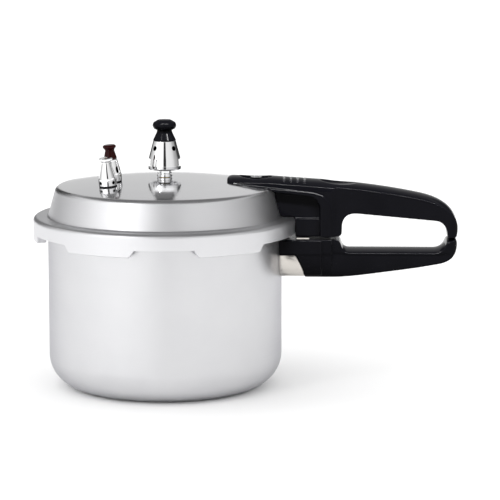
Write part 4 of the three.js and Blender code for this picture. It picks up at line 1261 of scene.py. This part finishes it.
# %% World as a light tent
# Each stop is an angle round the cooker in degrees and a brightness there.
TENT = [(-180, 0.7), (-167, 0.6), (-162, 0.03), (-134, 0.03), (-124, 0.4), (-105, 0.65), (-90, 0.8),
        (-64, 1.4), (-38, 1.9), (-16, 1.4), (-6, 0.9), (-3, 0.03), (12, 0.03), (15, 0.9), (50, 0.85), (66, 0.75),
        (80, 0.5), (104, 0.34), (118, 0.05), (163, 0.05), (167, 0.66), (180, 0.7)]
CANOPY = [(-180, 0.5), (-130, 0.5), (-110, 1.3), (110, 1.3), (130, 0.5), (180, 0.5)]
ZENITH = 0.2
CANOPY_FROM, CANOPY_TO, ZENITH_TO = 0.44, 0.56, 0.7


def level_ramp(tree, value, stops):
    ramp = add(tree, "ShaderNodeValToRGB", {0: value})
    elements = ramp.color_ramp.elements
    while len(elements) < len(stops):
        elements.new(0.5)
    for element, (azimuth, level) in zip(elements, stops):
        element.position, element.color = azimuth / 360 + 0.5, (level, level, level, 1)
    return ramp.outputs[0]


def build_tent():
    world = bpy.data.worlds.new("tent")
    scene.world = world
    world.use_nodes = True
    tree = world.node_tree
    way = split(tree, add(tree, "ShaderNodeTexCoord").outputs["Generated"])
    turn = maths(tree, "ARCTAN2", way["X"], maths(tree, "MULTIPLY", way["Y"], -1.0))
    around = maths(tree, "ADD", maths(tree, "DIVIDE", turn, 2 * math.pi), 0.5)
    canopy, zenith = (
        add(tree, "ShaderNodeMapRange", {"Value": way["Z"], "From Min": low, "From Max": high}).outputs[0]
        for low, high in ((CANOPY_FROM, CANOPY_TO), (CANOPY_TO, ZENITH_TO))
    )
    sides = blend_colour(tree, canopy, level_ramp(tree, around, TENT), level_ramp(tree, around, CANOPY))
    result = blend_colour(tree, zenith, sides, (ZENITH, ZENITH, ZENITH))
    background = tree.nodes["Background"]
    tree.links.new(result, background.inputs["Color"])
    background.inputs["Strength"].default_value = 1.0


build_tent()
print("tent:", len(TENT), "stops round the sides,", len(CANOPY), "round the canopy")

# %% [markdown]
# Three lamps add what a tent can't. A small key light gives the bright points on chrome. A broad light from
# above and behind lights the floor, and so draws the soft shadow in front of the pot. A long strip light,
# flagged off everything but the bakelite, draws the fine bright lines along the handles' edges.

# %% Lamps
KEY_PLACE, KEY_AIM = Vector((-0.96, -1.29, 1.27)), Vector((0.05, 0, 0.12))


def lamp(name, kind, direction, place=(0, 0, 0), **settings):
    """A lamp that shines along a direction."""
    light = bpy.data.lights.new(name, kind)
    for key, value in settings.items():
        setattr(light, key, value)
    holder = new_object(name, light)
    holder.location = place
    holder.rotation_euler = Vector(direction).to_track_quat("-Z", "Y").to_euler()
    return holder


lamp("key_light", "AREA", KEY_AIM - KEY_PLACE, KEY_PLACE, shape="DISK", size=0.25, energy=3)
overhead = lamp("overhead_light", "SUN", (0.0, -0.3, -1.0), energy=2.9, angle=math.radians(140))
overhead.visible_glossy = False

gloss_only = bpy.data.collections.new("glossy_black_pieces")
for piece in scene.objects:
    if piece.type == "MESH" and piece.data.materials and piece.data.materials[0] == BAKELITE:
        gloss_only.objects.link(piece)
strip = lamp("strip_light", "AREA", (0.0, 0.75, -1.05), (0.1, -0.75, 1.2),
             shape="RECTANGLE", size=1.6, size_y=0.12, energy=110)
strip.light_linking.receiver_collection = gloss_only

# %% Camera
CAMERA_AIM, CAMERA_DISTANCE, CAMERA_TURN, CAMERA_RISE = (0.075, 0.0, 0.120), 2.207, 1.6, 9.4
LENS = {"lens": 180.0, "sensor_width": 36.0, "clip_start": 0.05, "clip_end": 100.0}


def build_camera():
    turn, rise = math.radians(CAMERA_TURN), math.radians(CAMERA_RISE)
    away = Vector((math.sin(turn) * math.cos(rise), -math.cos(turn) * math.cos(rise), math.sin(rise)))
    lens = bpy.data.cameras.new("camera")
    for key, value in LENS.items():
        setattr(lens, key, value)
    camera = new_object("camera", lens)
    camera.location = Vector(CAMERA_AIM) + away * CAMERA_DISTANCE
    camera.rotation_euler = (-away).to_track_quat("-Z", "Y").to_euler()
    scene.camera = camera


build_camera()
scene.view_settings.view_transform = "Standard"
